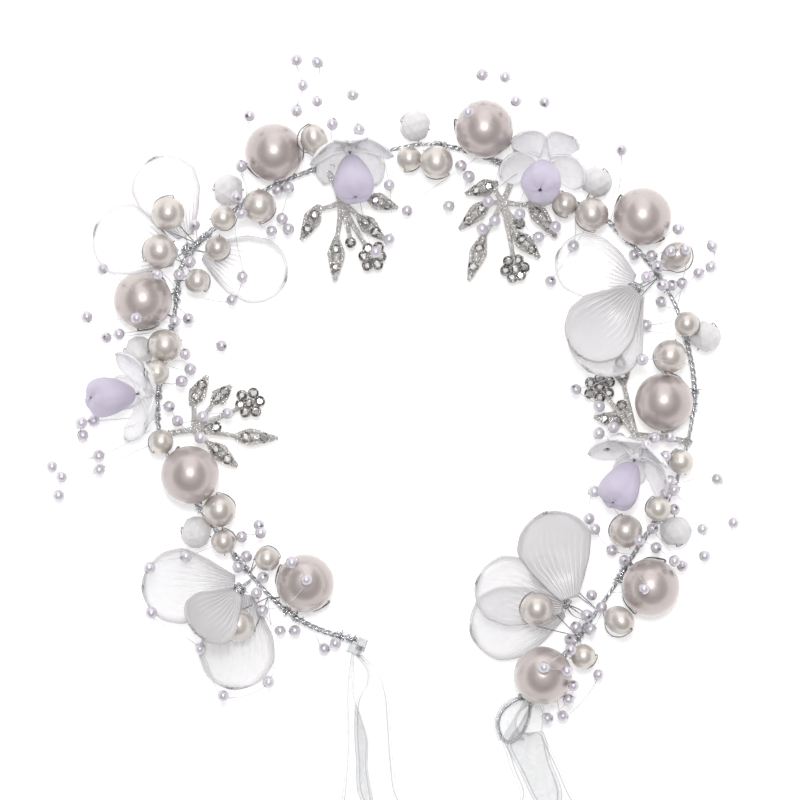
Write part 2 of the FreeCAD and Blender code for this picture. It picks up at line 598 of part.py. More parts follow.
def large_petals(doc):
    """Twelve ribbed petals, three to a cluster."""
    sizes = doc.sizes
    for cluster, petals in PETAL_CLUSTERS:
        for number, (heading, rise, size, foot) in enumerate(petals, start=1):
            blank = petal_blank(
                sizes.petal_length * size, sizes.petal_width * size, sizes.petal_bowl, sizes.petal_wall)
            turn = Rotation(UP, heading).multiply(Rotation(Vector(0, 1, 0), -rise))
            petal = shaped(doc, "%s_petal_%d" % (cluster, number), blank)
            petal.Placement = Placement(Vector(*foot), turn)


def flower(doc, name, side, place, facing, turn, lines, pins):
    """A white cap of five petals, a lilac bell in it, and a pin with a seed bead."""
    sizes = doc.sizes
    hub = Vector(*place)
    along = Vector(*facing).normalize()
    seat = Placement(hub, Rotation(UP, along).multiply(Rotation(UP, turn)))
    sepal = petal_blank(sizes.sepal_length, sizes.sepal_width, sizes.sepal_bowl, sizes.sepal_wall)
    cap = Part.makeCylinder(sizes.cap_hub / 2, sizes.cap_hub_wall, -UP * (sizes.cap_hub_wall / 2))
    for number in range(5):
        leaf = sepal.copy()
        leaf.Placement = Placement(Vector(0, 0, 0), Rotation(UP, 72 * number)).multiply(
            Placement(Vector(sizes.sepal_reach, 0, 0), Rotation(Vector(0, 1, 0), -sizes.sepal_rise)))
        cap = cap.fuse(leaf)
    bore = rod(-UP * sizes.sepal_length, UP * sizes.sepal_length, sizes.seed_bore)
    cap = cap.cut(bore).removeSplitter()
    cap_part = shaped(doc, "flower_cap_%s" % name, cap)
    cap_part.Placement = seat
    bell = part(bell_body(doc, "flower_bell_%s" % name), "flower_bell_%s" % name)
    bell.Placement = Placement(hub + along * (sizes.bell_seat - sizes.bell_wall), seat.Rotation)
    spot = lines[side].nearest(hub)[1]
    back = hub - along * sizes.cap_hub_wall
    inside = hub + along * (sizes.bell_seat + sizes.pin_end)
    tail_start = spot + (hub - spot).normalize() * (sizes.band_wire / 2 + sizes.touch_gap)
    pin = rod(back, inside, sizes.pin_wire)
    tail = rod(tail_start, back, sizes.pin_wire)
    knob = Part.makeSphere(sizes.seed_bead / 2, inside + along * (sizes.seed_bead / 4))
    pins[side].append(pin.fuse([tail, knob]))


def leaf_blank(base, tip, width, wall):
    """A flat pointed leaf between two arcs."""
    along = (tip - base).normalize()
    across = UP.cross(along).normalize()
    middle = base + (tip - base) * 0.45
    left = Part.Arc(base, middle + across * (width / 2), tip).toShape()
    right = Part.Arc(tip, middle - across * (width / 2), base).toShape()
    face = Part.Face(Part.Wire([left, right]))
    leaf = face.extrude(UP * wall)
    leaf.translate(-UP * (wall / 2))
    return leaf


def berry_places(centre, count, heading, pitch):
    """A bunch of stones: one in the middle and the rest round it."""
    places = [centre]
    for number in range(count - 1):
        angle = math.radians(heading + 60 * number)
        places.append(centre + Vector(math.cos(angle), math.sin(angle), 0) * pitch)
    return places


def spray(doc, name, foot, fork, leaves, bunch, count, heading, singles, line, form):
    """A cast spray of jewelled leaves and berries. Returns its stones."""
    sizes = doc.sizes
    level = Vector(0, 0, SPRAY_HEIGHT)
    fork = Vector(*fork, 0) + level
    bunch = Vector(*bunch, 0) + level
    spot = line.nearest(Vector(*foot, 0))[1]
    start = spot + (fork - spot).normalize() * (sizes.band_wire / 2 + sizes.touch_gap)
    solids = [rod(start, fork, sizes.vein), Part.makeSphere(sizes.fork_ball / 2, fork)]
    seats = berry_places(bunch, count, heading, sizes.stone_cup * 0.9)
    solids.append(rod(fork, bunch, sizes.vein))
    for x, y in singles:
        seats.append(Vector(x, y, 0) + level)
        solids.append(rod(fork, seats[-1], sizes.vein))
    for base, tip in leaves:
        base = Vector(*base, 0) + level
        tip = Vector(*tip, 0) + level
        solids.append(rod(fork, base + (tip - base) * 0.2, sizes.vein))
        solids.append(leaf_blank(base, tip, sizes.leaf_width, sizes.leaf_wall))
        seats.append(base + (tip - base) * 0.3)
        seats.append(base + (tip - base) * 0.68)
    for seat in seats:
        cup = Part.makeCylinder(sizes.stone_cup / 2, sizes.cup_depth, seat - UP * (sizes.cup_depth / 2))
        solids.append(cup)
    casting = solids[0].fuse(solids[1:]).removeSplitter()
    shaped(doc, "leaf_spray_" + name, casting)
    stones = []
    for seat in seats:
        stone = form.Shape.copy()
        stone.Placement = Placement(seat + UP * (sizes.cup_depth / 2), Rotation())
        stones.append(stone)
    return stones


def nylon_loops(doc, side, form):
    """The nylon lines of one side, and the seed beads on them."""
    sizes = doc.sizes
    lines = []
    seeds = []
    radii = []
    for loop in NYLON_LOOPS[side]:
        line, radius = tube(loop, sizes.nylon)
        lines.append(line)
        radii.append(radius)
        corners = [Vector(*point[:3]) for point in loop]
        for point, before, corner, after in zip(loop[1:], corners, corners[1:], corners[2:]):
            if len(point) == 3:
                seed = form.Shape.copy()
                seed.Placement = Placement(corner, Rotation(UP, after - before))
                seeds.append(seed)
    print("nylon_%s smallest bend %.1f mm" % (side, min(radii)))
    shaped(doc, "nylon_lines_" + side, group(lines))
    shaped(doc, "seed_beads_" + side, group(seeds))


def eyelet(doc):
    """The wire eyelet at the right end of the band."""
    points = [(x, y, doc.sizes.band_height) for x, y in EYELET]
    wire, radius = tube(points, doc.sizes.loop_wire)
    print("eyelet smallest bend %.1f mm" % radius)
    shaped(doc, "ribbon_eyelet", wire)


def ribbon(doc, side):
    """One organza ribbon: its tie, two flat tails, and the folded rest of each tail."""
    sizes = doc.sizes
    (x, y, z), (wide, deep, tall) = KNOT[side]
    solids = [Part.makeBox(wide, deep, tall, Vector(x, y, z))]
    for left, right, height in RIBBONS[side]:
        outline = [Vector(px, py, height) for px, py in left + right[::-1]]
        face = Part.Face(Part.makePolygon(outline + outline[:1]))
        solids.append(face.extrude(UP * sizes.ribbon_wall))
    for (x_low, y_low), (x_high, y_high) in FOLDS[side]:
        corner = Vector(x_low, y_low, 0.1)
        solids.append(Part.makeBox(x_high - x_low, y_high - y_low, sizes.fold_depth, corner))
    shaped(doc, "ribbon_" + side, group(solids))


def build():
    doc = FreeCAD.newDocument("flower_crown")
    make_sheet(doc)
    forms = {
        "mid": round_bead(doc, "mid_form", "mid_pearl", "bead_bore"),
        "small": round_bead(doc, "small_form", "small_pearl", "bead_bore"),
        "seed": round_bead(doc, "seed_form", "seed_bead", "seed_bore"),
        "rice": rice_bead(doc),
        "frosted": faceted_bead(doc),
        "stone": stone_form(doc),
    }
    doc.recompute()
    lines = {side: Line(BAND[side], doc.sizes.band_height) for side in BAND}
    pins = {side: [] for side in BAND}
    for side, line in lines.items():
        band_half(doc, side)
        big_pearls(doc, side, line)
        beads_on_stems(doc, side, line, forms)
        nylon_loops(doc, side, forms["seed"])
        ribbon(doc, side)
    large_petals(doc)
    for name, side, place, facing, turn in FLOWERS:
        flower(doc, name, side, place, facing, turn, lines, pins)
    for side in pins:
        shaped(doc, "flower_pins_" + side, group(pins[side]))
    stones = {side: [] for side in BAND}
    for name, side, *rest in SPRAYS:
        stones[side] += spray(doc, name, *rest, lines[side], forms["stone"])
    for side in stones:
        shaped(doc, "rhinestones_" + side, group(stones[side]))
    eyelet(doc)
    doc.recompute()
    return doc


def check(doc):
    """Stops if any object failed or any sub-part is not a sound set of solids."""
    for obj in doc.Objects:
        if "Invalid" in obj.State or "Error" in obj.State:
            raise ValueError("%s failed: %s" % (obj.Name, obj.State))
    for obj in PARTS:
        shape = obj.Shape
        if shape.isNull() or not shape.isValid() or not shape.Solids:
            raise ValueError("%s has no sound shape" % obj.Label)


def export():
    os.makedirs("parts", exist_ok=True)
    for obj in PARTS:
        obj.Shape.exportStep("parts/%s.step" % obj.Label)
    print("%d parts written" % len(PARTS))


document = build()
check(document)
export()
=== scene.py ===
"""Looks of the flower crown: pearls, wire, petals, bell flowers, sprays and ribbons."""

import json
import math

import bpy
import numpy as np
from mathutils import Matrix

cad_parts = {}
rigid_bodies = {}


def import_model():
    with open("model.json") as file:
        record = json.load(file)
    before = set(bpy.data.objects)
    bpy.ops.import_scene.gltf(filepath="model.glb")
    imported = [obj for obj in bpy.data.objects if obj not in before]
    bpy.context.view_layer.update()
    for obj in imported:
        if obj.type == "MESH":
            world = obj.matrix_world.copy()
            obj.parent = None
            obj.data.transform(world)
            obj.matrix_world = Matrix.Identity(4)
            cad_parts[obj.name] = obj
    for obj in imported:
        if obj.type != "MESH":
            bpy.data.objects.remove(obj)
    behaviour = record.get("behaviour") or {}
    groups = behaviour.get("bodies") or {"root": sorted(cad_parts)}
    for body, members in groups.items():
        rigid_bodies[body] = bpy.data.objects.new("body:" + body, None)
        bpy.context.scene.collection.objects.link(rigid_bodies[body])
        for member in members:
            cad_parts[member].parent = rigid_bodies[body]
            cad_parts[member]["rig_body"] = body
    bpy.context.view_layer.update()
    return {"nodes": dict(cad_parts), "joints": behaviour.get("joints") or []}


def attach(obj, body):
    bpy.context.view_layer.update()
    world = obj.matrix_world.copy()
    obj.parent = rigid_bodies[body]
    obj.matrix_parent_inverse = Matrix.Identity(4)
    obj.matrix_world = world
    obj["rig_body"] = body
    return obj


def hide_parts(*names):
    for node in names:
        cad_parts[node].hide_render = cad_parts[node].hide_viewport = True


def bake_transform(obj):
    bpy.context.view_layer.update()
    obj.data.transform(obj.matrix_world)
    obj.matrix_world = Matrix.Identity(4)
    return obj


# Everything below is worked out in millimetres and scaled when a piece is made.
MM = 0.001
UP = np.array([0.0, 0.0, 1.0])
TAU = 2 * math.pi

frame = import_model()
NODES = frame["nodes"]
JOINTS = {joint["name"]: joint for joint in frame["joints"]}
random = np.random.default_rng(11)

# Routes and places that belong to the CAD part, repeated from it.
BAND_HEIGHT = 2.5
BAND = {
    "left": [
        (-8.5, 60.5), (-20.5, 58), (-30, 54.9), (-39.5, 51), (-47, 46), (-53, 40.5),
        (-58, 36), (-60.5, 31), (-61, 24), (-62, 18), (-63.5, 11), (-65.5, 2.5), (-66, -5),
        (-63.5, -13), (-60.5, -20.5), (-55.5, -26), (-52, -30.5), (-48, -36.5),
        (-42.5, -43), (-37, -49), (-31, -53.5), (-24, -56.5), (-17.5, -58),
    ],
    "right": [
        (-8.5, 60.5), (-1.5, 62), (6, 61), (14, 58.3), (21, 55.5), (29.5, 50.5), (36.5, 47),
        (43.5, 43), (50, 36.5), (54.4, 31.2), (58, 25.5), (60.5, 20), (62.5, 12), (64, 4),
        (63.5, -4), (62, -11), (60, -18.5), (57, -25), (53, -31.5), (48.5, -38), (44.5, -45),
        (39.5, -52), (34, -60), (28, -66), (22.5, -70.5),
    ],
}
SPRAYS = [
    ("front_left", "left", (-25.5, 56.3), (-21.5, 47.5),
     [((-26.5, 47), (-31, 38.4)), ((-22.5, 39.5), (-22.8, 28.4)),
      ((-17.5, 44.5), (-10.8, 38.5)), ((-15.5, 48.8), (-7.6, 46.2))],
     (-13.8, 34.5), 7, -60, [(-19, 37.9)]),
    ("front_right", "right", (20.5, 55.7), (17.5, 47.5),
     [((16.5, 52.2), (8.5, 49.5)), ((14.5, 48), (7, 41)), ((13.2, 40), (9.3, 28.6)),
      ((20, 40.5), (26.5, 34.2)), ((23.5, 48), (30.5, 39))],
     (20.5, 31.5), 7, -50, [(21.5, 42.5)]),
    ("side_left", "left", (-64.2, -8.5), (-57, -7.2),
     [((-57.5, -1.5), (-53.5, 6)), ((-52.5, -1), (-47.8, 3.5)), ((-47.5, -8.8), (-36.5, -9.2)),
      ((-53.5, -10.2), (-46.3, -16))],
     (-43.5, -0.8), 7, 10, [(-51.5, -6.6)]),
    ("side_right", "right", (62, -9.8), (49.5, -8.4),
     [((46.6, 3.5), (45.4, 11.5)), ((47.5, -5), (39.4, -4.2)), ((47.5, -9.8), (40.2, -11.6))],
     (40.8, 3), 7, 150, [(46.2, -1.2)]),
]
SPRAY_HEIGHT = 4.6
NYLON_LOOPS = {
    "left": [
        [(-30, 55, 3), (-32, 69.5, 8), (-30.5, 75.5, 9), (-32, 81.5, 10), (-27, 81, 9),
         (-27, 71.5, 12), (-25, 56.5, 4)],
        [(-22.5, 57.4, 3), (-23.4, 66, 13), (-18.5, 73, 12), (-17, 64.5, 16), (-13, 59.7, 3)],
        [(-43.5, 48.5, 3), (-45.2, 56, 11), (-43.2, 68, 12), (-45.4, 60, 13, 0),
         (-44, 50, 9, 0), (-45, 47.3, 3)],
        [(-38, 51.8, 3), (-36.5, 50.5, 7), (-34, 51, 8), (-35.5, 43.5, 8), (-34, 41, 8),
         (-38, 40.5, 9), (-46.3, 46.6, 3)],
        [(-15, 59.4, 3), (-12.5, 60.5, 6), (-9.8, 51.5, 10), (-9.8, 38.5, 9), (-13, 35.5, 9),
         (-19, 58.5, 3)],
        [(-50, 43.5, 3), (-46.3, 48.5, 14), (-45, 44.5, 15), (-46, 47, 3)],
        [(-56, 38, 3), (-56.5, 42, 8), (-57.5, 33, 11.5), (-60, 30, 13), (-60.5, 31, 3)],
        [(-61, 27, 3), (-65, 30, 17), (-71.5, 27.2, 16, 0), (-78.5, 31.5, 9), (-82.5, 20, 6),
         (-70, 19.5, 15.6), (-61.2, 18.5, 13, 0), (-61.5, 21, 3)],
        [(-62, 17.5, 3), (-74.5, 15.8, 11), (-77.8, 15, 7), (-63.2, 16.6, 3)],
        [(-61.2, 23, 3), (-58, 19.5, 7), (-61, 18.8, 12), (-58.5, 11, 13),
         (-59, 9.5, 8, 0), (-64, 9.6, 3)],
        [(-61, 26, 3), (-47.5, 24, 8), (-45, 29.5, 9), (-46.3, 38, 11, 0), (-47.2, 45.8, 3)],
        [(-64, 8.5, 3), (-57.5, 7.4, 9), (-50, 13, 8), (-59.5, 4.5, 11), (-65, 4, 3)],
        [(-66, -2.8, 3), (-73, -4.4, 2.2, 0), (-80.8, -5, 6), (-83.6, -5.5, 8.2), (-83.4, -8.5, 7),
         (-66, -4.6, 3)],
        [(-65.8, -6.5, 3), (-79.5, -13.5, 8), (-91, -16, 4), (-88.6, -18.5, 5),
         (-89.4, -23, 4), (-79.5, -16.8, 6), (-64.6, -9.5, 3)],
        [(-65.9, -1.5, 3), (-62.5, -1.5, 9), (-60.5, -5, 10), (-55, -9, 11), (-54.5, -4, 10),
         (-48.5, -3.2, 11), (-65.5, -6.8, 3)],
        [(-49.5, -34.4, 3), (-58.5, -37.5, 9), (-67, -40, 15), (-66.5, -50.8, 15.5),
         (-55, -59.5, 12.5), (-49.5, -70.8, 12), (-38.6, -67.5, 12), (-39, -47, 3)],
        [(-50.5, -32.7, 3), (-41, -30, 9), (-40.5, -31.8, 12), (-45.1, -32.8, 10),
         (-44, -37.5, 9), (-46, -40, 9), (-44.5, -41, 3)],
        [(-40.5, -45.3, 3), (-40, -42.5, 12), (-33, -38.8, 15.5), (-29.5, -42.8, 17),
         (-34, -48.5, 15.5, 0), (-40, -50, 9, 0), (-38, -47.8, 3)],
        [(-41.5, -44.2, 3), (-41.6, -46.3, 10.5), (-40.2, -50.5, 9), (-36, -55.5, 6),
         (-32.5, -55.5, 6), (-29.5, -54.2, 3)],
        [(-28.5, -54.6, 3), (-25.5, -60, 3), (-22.8, -58.6, 5), (-21, -57.4, 3)],
    ],
    "right": [
        [(4, 61.5, 3), (4.5, 65, 9, 0), (9, 68.5, 17.5), (12.5, 78, 9), (18, 77.5, 9),
         (27.5, 71.5, 9), (20.5, 71.5, 13), (19, 61, 15, 0), (18.3, 56.7, 3)],
        [(3.5, 61.5, 3), (7.4, 56.2, 8), (9.3, 53.6, 8), (4.5, 46.5, 8), (-5.5, 45.5, 6),
         (12, 59, 3)],
        [(22, 54.8, 3), (19.5, 53.5, 7.5, 0), (14, 47.5, 9.5), (15.5, 43, 9), (12.5, 41, 9),
         (15.8, 53, 9.5, 0), (17, 57.2, 3)],
        [(24, 53.8, 3), (21.5, 44.5, 10), (26, 39, 9), (30, 41.5, 9), (28.3, 51.4, 3)],
        [(35, 47.8, 3), (34.5, 37, 6), (29, 28.5, 6), (40, 45, 3)],
        [(43.5, 43, 3), (45.6, 52, 7, 0), (46, 60, 8), (44.8, 52, 9, 0), (42, 43.8, 3)],
        [(52, 33.8, 3), (59.5, 41, 10), (67.8, 37, 8), (67.5, 32, 8), (64.5, 30.5, 8),
         (58.6, 24.3, 3)],
        [(53.5, 32.4, 3), (54.4, 35, 11, 0), (57.5, 35.5, 14.2), (61, 36, 14.2), (60.5, 28, 9),
         (59.5, 22.2, 3)],
        [(50.5, 36, 3), (49, 34.8, 7.5), (53.2, 34.6, 8), (54.5, 32, 12), (51.5, 29.3, 17),
         (55.5, 27.5, 14), (58, 27.5, 10), (55.5, 23.5, 9), (59.8, 21.6, 3)],
        [(60.7, 19.4, 3), (52, 18, 5), (35, 18.5, 6), (61.6, 15.6, 3)],
        [(63.3, 8.5, 3), (62.6, 8.2, 11.5, 0), (58.2, 9, 17.5, 0), (50.5, 9.6, 17), (44, 6, 19.8, 0),
         (38, 3.2, 15, 0), (35, 2.5, 8), (40.5, -1.5, 9), (44, -6.5, 9), (40.5, -8, 8),
         (45.4, -9.2, 10.5), (62.2, -10.2, 3)],
        [(61.6, -12.4, 3), (57.5, -8.8, 10), (53.6, -9, 12.5), (51.5, -10.6, 15), (56.4, -13.5, 11),
         (62.8, -8.2, 3)],
        [(60.4, -17, 3), (57.5, -19.5, 9), (56.4, -22.6, 8.6), (58.4, -21.5, 12), (57, -24, 3)],
        [(57.8, -23.3, 3), (53.4, -30.8, 9), (58.6, -26.2, 9.5), (50, -33.5, 13.4),
         (51.8, -33.3, 3)],
        [(51, -34.4, 3), (39.5, -22, 6), (38.2, -28.5, 6), (39.5, -31, 8), (43.8, -36.2, 4.5),
         (49, -37.3, 3)],
        [(59.3, -20, 3), (69, -19, 7), (73, -29.5, 6), (66, -37.5, 7), (65.5, -31, 7),
         (58.6, -21.6, 3)],
        [(51.3, -34, 3), (54.2, -35.4, 9), (58.5, -38.5, 12), (60.5, -39.8, 9),
         (53.4, -31, 3)],
        [(47.3, -40.1, 3), (46.6, -38.5, 8), (51, -45, 16.5), (44, -46, 14, 0), (43.5, -46.8, 3)],
        [(42.8, -47.4, 3), (38.8, -46.8, 8), (41.2, -49.8, 8), (38.5, -55, 9), (35, -54.5, 9),
         (37.5, -51.5, 12), (33.5, -57.5, 8), (36.4, -56.5, 3)],
        [(35, -58.5, 3), (33.5, -59.5, 16), (27, -63.5, 20.5), (32.5, -64.5, 18),
         (34.2, -68.2, 15), (33.2, -71.8, 10), (28.2, -76.4, 8), (25, -68.4, 3)],
        [(37.8, -54.5, 3), (40.5, -66, 7), (32, -76, 5), (30, -64, 3)],
    ],
}
EYELET = [
    (22.3, -71.6), (18.3, -73.2), (15.8, -78.3), (18.3, -83.4), (22.3, -81), (24.8, -74.6),
    (23.6, -71.6),
]

# Sizes that several pieces share.
BIG_RADIUS = 7.0
SEED_RADIUS = 1.4
BEAD_BORE = 0.3
BIG_BORE = 0.34
HUG_GAP = 0.15
BIG_HUG = 7.45
BIG_STUB = 7.4
SEED_HUG = 1.56
LINE_RADIUS = 0.13
BAND_STEP = 0.4
TWIST_PITCH = 5.2
STRAND_RADIUS = 0.27
RIBBON_WIDTH = 10.0
CLOTH_WALL = 0.07


# ---------------------------------------------------------------- reading the frame


def islands(node):
    """The points of each separate solid of a CAD node."""
    mesh = NODES[node].data
    points = np.empty(len(mesh.vertices) * 3)
    mesh.vertices.foreach_get("co", points)
    points, same = np.unique((points.reshape(-1, 3) / MM).round(3), axis=0, return_inverse=True)
    ends = np.empty(len(mesh.edges) * 2, int)
    mesh.edges.foreach_get("vertices", ends)
    first, second = same.reshape(-1)[ends.reshape(-1, 2)].T
    label = np.arange(len(points))
    while True:
        low = np.minimum(label[first], label[second])
        before = label.copy()
        np.minimum.at(label, first, low)
        np.minimum.at(label, second, low)
        label = label[label]
        if (label == before).all():
            break
    return [points[label == name] for name in np.unique(label)]


def middle(points):
    return (points.min(0) + points.max(0)) / 2


def unit(vector):
    return np.asarray(vector, float) / np.linalg.norm(vector)


def main_axes(points):
    """The three principal directions of a set of points, the longest first."""
    return np.linalg.svd(points - points.mean(0), full_matrices=False)[2]


def rod_ends(points):
    """Both ends of a straight rod, the lower one first."""
    axis = main_axes(points)[0]
    centre = points.mean(0)
    along = (points - centre) @ axis
    ends = [centre + axis * along.min(), centre + axis * along.max()]
    return sorted(ends, key=lambda end: end[2])


def body_of(node):
    return NODES[node]["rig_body"]


# ---------------------------------------------------------------- mesh building


def two_shells():
    return {"left": Shell(), "right": Shell()}


class Shell:
    """Surfaces collected into one mesh, with marks on their points for the materials."""

    MARKS = ("tone", "mark", "across", "along")

    def __init__(self):
        self.points = []
        self.faces = []
        self.marks = {name: [] for name in self.MARKS}
        self.count = 0

    def add(self, points, faces, **marks):
        points = np.asarray(points, float).reshape(-1, 3)
        self.points.append(points)
        self.faces += [[corner + self.count for corner in face] for face in faces]
        for name in self.MARKS:
            value = np.broadcast_to(np.asarray(marks.get(name, 0.0), float).reshape(-1), len(points))
            self.marks[name].append(value)
        self.count += len(points)

    def piece(self, name, material, slot, body=None, replaces=(), smooth=True):
        mesh = bpy.data.meshes.new(name)
        mesh.from_pydata(np.concatenate(self.points) * MM, [], self.faces)
        mesh.validate()
        for mark, values in self.marks.items():
            attribute = mesh.attributes.new(mark, "FLOAT", "POINT")
            attribute.data.foreach_set("value", np.concatenate(values))
        mesh.polygons.foreach_set("use_smooth", [smooth] * len(mesh.polygons))
        mesh.materials.append(material)
        obj = bpy.data.objects.new(name, mesh)
        bpy.context.scene.collection.objects.link(obj)
        if body:
            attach(obj, body)
        if replaces:
            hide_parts(*replaces)
        return obj


def grid(rows, cols, ring=False):
    """Quads over rows of points. A ring joins its last column to its first."""
    last = cols if ring else cols - 1
    return [
        (row * cols + col, row * cols + (col + 1) % cols,
         (row + 1) * cols + (col + 1) % cols, (row + 1) * cols + col)
        for row in range(rows - 1) for col in range(last)
    ]


def lathe(profile, segments):
    """A turned surface about Z from (radius, height) pairs, upwards on its outside."""
    profile = np.asarray(profile, float)
    turn = np.arange(segments) * TAU / segments
    points = np.stack([
        profile[:, :1] * np.cos(turn), profile[:, :1] * np.sin(turn),
        np.repeat(profile[:, 1:], segments, 1)], -1)
    return points.reshape(-1, 3), grid(len(profile), segments, True)


def facing(axis, turn=0.0):
    """A 3x3 matrix whose columns are a frame with Z along an axis."""
    z = unit(axis)
    x = np.cross(UP if abs(z[2]) < 0.95 else (0, 1, 0), z)
    x = unit(x)
    y = np.cross(z, x)
    c, s = math.cos(turn), math.sin(turn)
    return np.stack([x * c + y * s, y * c - x * s, z], 1)


def place(points, frame_matrix, centre):
    return points @ frame_matrix.T + centre


def directions(path):
    """The direction of a line at each of its points."""
    tangents = np.gradient(path, axis=0)
    return tangents / np.linalg.norm(tangents, axis=1)[:, None]


def nearest(line, spot):
    """The index of the point of a line that is nearest to a spot."""
    return int(np.argmin(np.linalg.norm(line - spot, axis=1)))


def sweep(path, radius, sides):
    """A round wire along a run of points, closed at both ends."""
    path = np.asarray(path, float)
    tangents = directions(path)
    side = facing(tangents[0])[:, 0]
    sides_out = []
    for tangent in tangents:
        side = unit(side - tangent * side.dot(tangent))
        sides_out.append(side)
    across = np.array(sides_out)
    other = np.cross(tangents, across)
    turn = np.arange(sides) * TAU / sides
    reach = np.broadcast_to(np.asarray(radius, float), len(path))[:, None, None]
    rings = path[:, None] + reach * (
        np.cos(turn)[None, :, None] * across[:, None] + np.sin(turn)[None, :, None] * other[:, None])
    faces = grid(len(path), sides, True)
    end = (len(path) - 1) * sides
    faces += [tuple(range(sides))[::-1], tuple(range(end, end + sides))]
    return rings.reshape(-1, 3), faces


def slab(surface, thickness):
    """A closed sheet of some thickness round a grid of points: its points and faces."""
    rows, cols = surface.shape[:2]
    down = np.gradient(surface, axis=0)
    right = np.gradient(surface, axis=1)
    normal = np.cross(down, right)
    normal /= np.maximum(np.linalg.norm(normal, axis=2), 1e-9)[..., None]
    half = np.broadcast_to(np.asarray(thickness, float) / 2, (rows, cols))[..., None]
    top = surface + normal * half
    low = surface - normal * half
    count = rows * cols
    faces = [face[::-1] for face in grid(rows, cols)]
    faces += [[corner + count for corner in face] for face in grid(rows, cols)]
    edge = list(range(cols)) + [row * cols + cols - 1 for row in range(1, rows)]
    edge += [(rows - 1) * cols + col for col in range(cols - 2, -1, -1)]
    edge += [row * cols for row in range(rows - 2, 0, -1)]
    faces += [(a, b, b + count, a + count) for a, b in zip(edge, edge[1:] + edge[:1])]
    return np.concatenate([top.reshape(-1, 3), low.reshape(-1, 3)]), faces


def twice(values):
    return np.concatenate([np.ravel(values), np.ravel(values)])


def through(points, step=0.8):
    """A smooth line that passes through points."""
    points = [np.asarray(point[:3], float) for point in points]
    points = [2 * points[0] - points[1]] + points + [2 * points[-1] - points[-2]]
    line = []
    for a, b, c, d in zip(points, points[1:], points[2:], points[3:]):
        knots = np.cumsum([0] + [max(np.linalg.norm(q - p), 0.01) ** 0.5
                                 for p, q in ((a, b), (b, c), (c, d))])
        count = max(2, int(np.linalg.norm(c - b) / step))
        for t in np.linspace(knots[1], knots[2], count, endpoint=False):
            ab = a + (b - a) * (t - knots[0]) / (knots[1] - knots[0])
            bc = b + (c - b) * (t - knots[1]) / (knots[2] - knots[1])
            cd = c + (d - c) * (t - knots[2]) / (knots[3] - knots[2])
            abc = ab + (bc - ab) * (t - knots[0]) / (knots[2] - knots[0])
            bcd = bc + (cd - bc) * (t - knots[1]) / (knots[3] - knots[1])
            line.append(abc + (bcd - abc) * (t - knots[1]) / (knots[2] - knots[1]))
    line.append(points[-2])
    return np.array(line)


def near(points, step):
    """A smooth line that cuts inside the corners of a route, evenly divided."""
    points = [np.asarray(point, float) for point in points]
    middles = [(a + b) / 2 for a, b in zip(points, points[1:])]
    stops = [points[0]] + middles[1:-1] + [points[-1]]
    line = []
    for start, corner, end in zip(stops, points[1:], stops[1:]):
        for t in np.linspace(0, 1, 24, endpoint=False):
            line.append(start * (1 - t) ** 2 + corner * 2 * t * (1 - t) + end * t * t)
    line.append(stops[-1])
    return even(np.array(line), step)


def even(line, step):
    """The same line with points a step apart."""
    length = np.concatenate([[0], np.cumsum(np.linalg.norm(np.diff(line, axis=0), axis=1))])
    stops = np.linspace(0, length[-1], max(2, int(length[-1] / step)))
    return np.stack([np.interp(stops, length, line[:, axis]) for axis in range(3)], 1)


def wire(shell, points, radius, sides, step=0.5, **marks):
    """A round wire that passes through points."""
    shell.add(*sweep(through(points, step), radius, sides), **marks)


def wander(count, size, waves=5):
    """A smooth wandering value, for wire that was bent by hand."""
    at = np.linspace(0, 1, count)
    total = np.zeros(count)
    for number in range(1, waves + 1):
        total += np.sin(at * TAU * number * random.uniform(0.6, 1.6) + random.uniform(0, TAU)) / number
    return total * size


# ---------------------------------------------------------------- materials


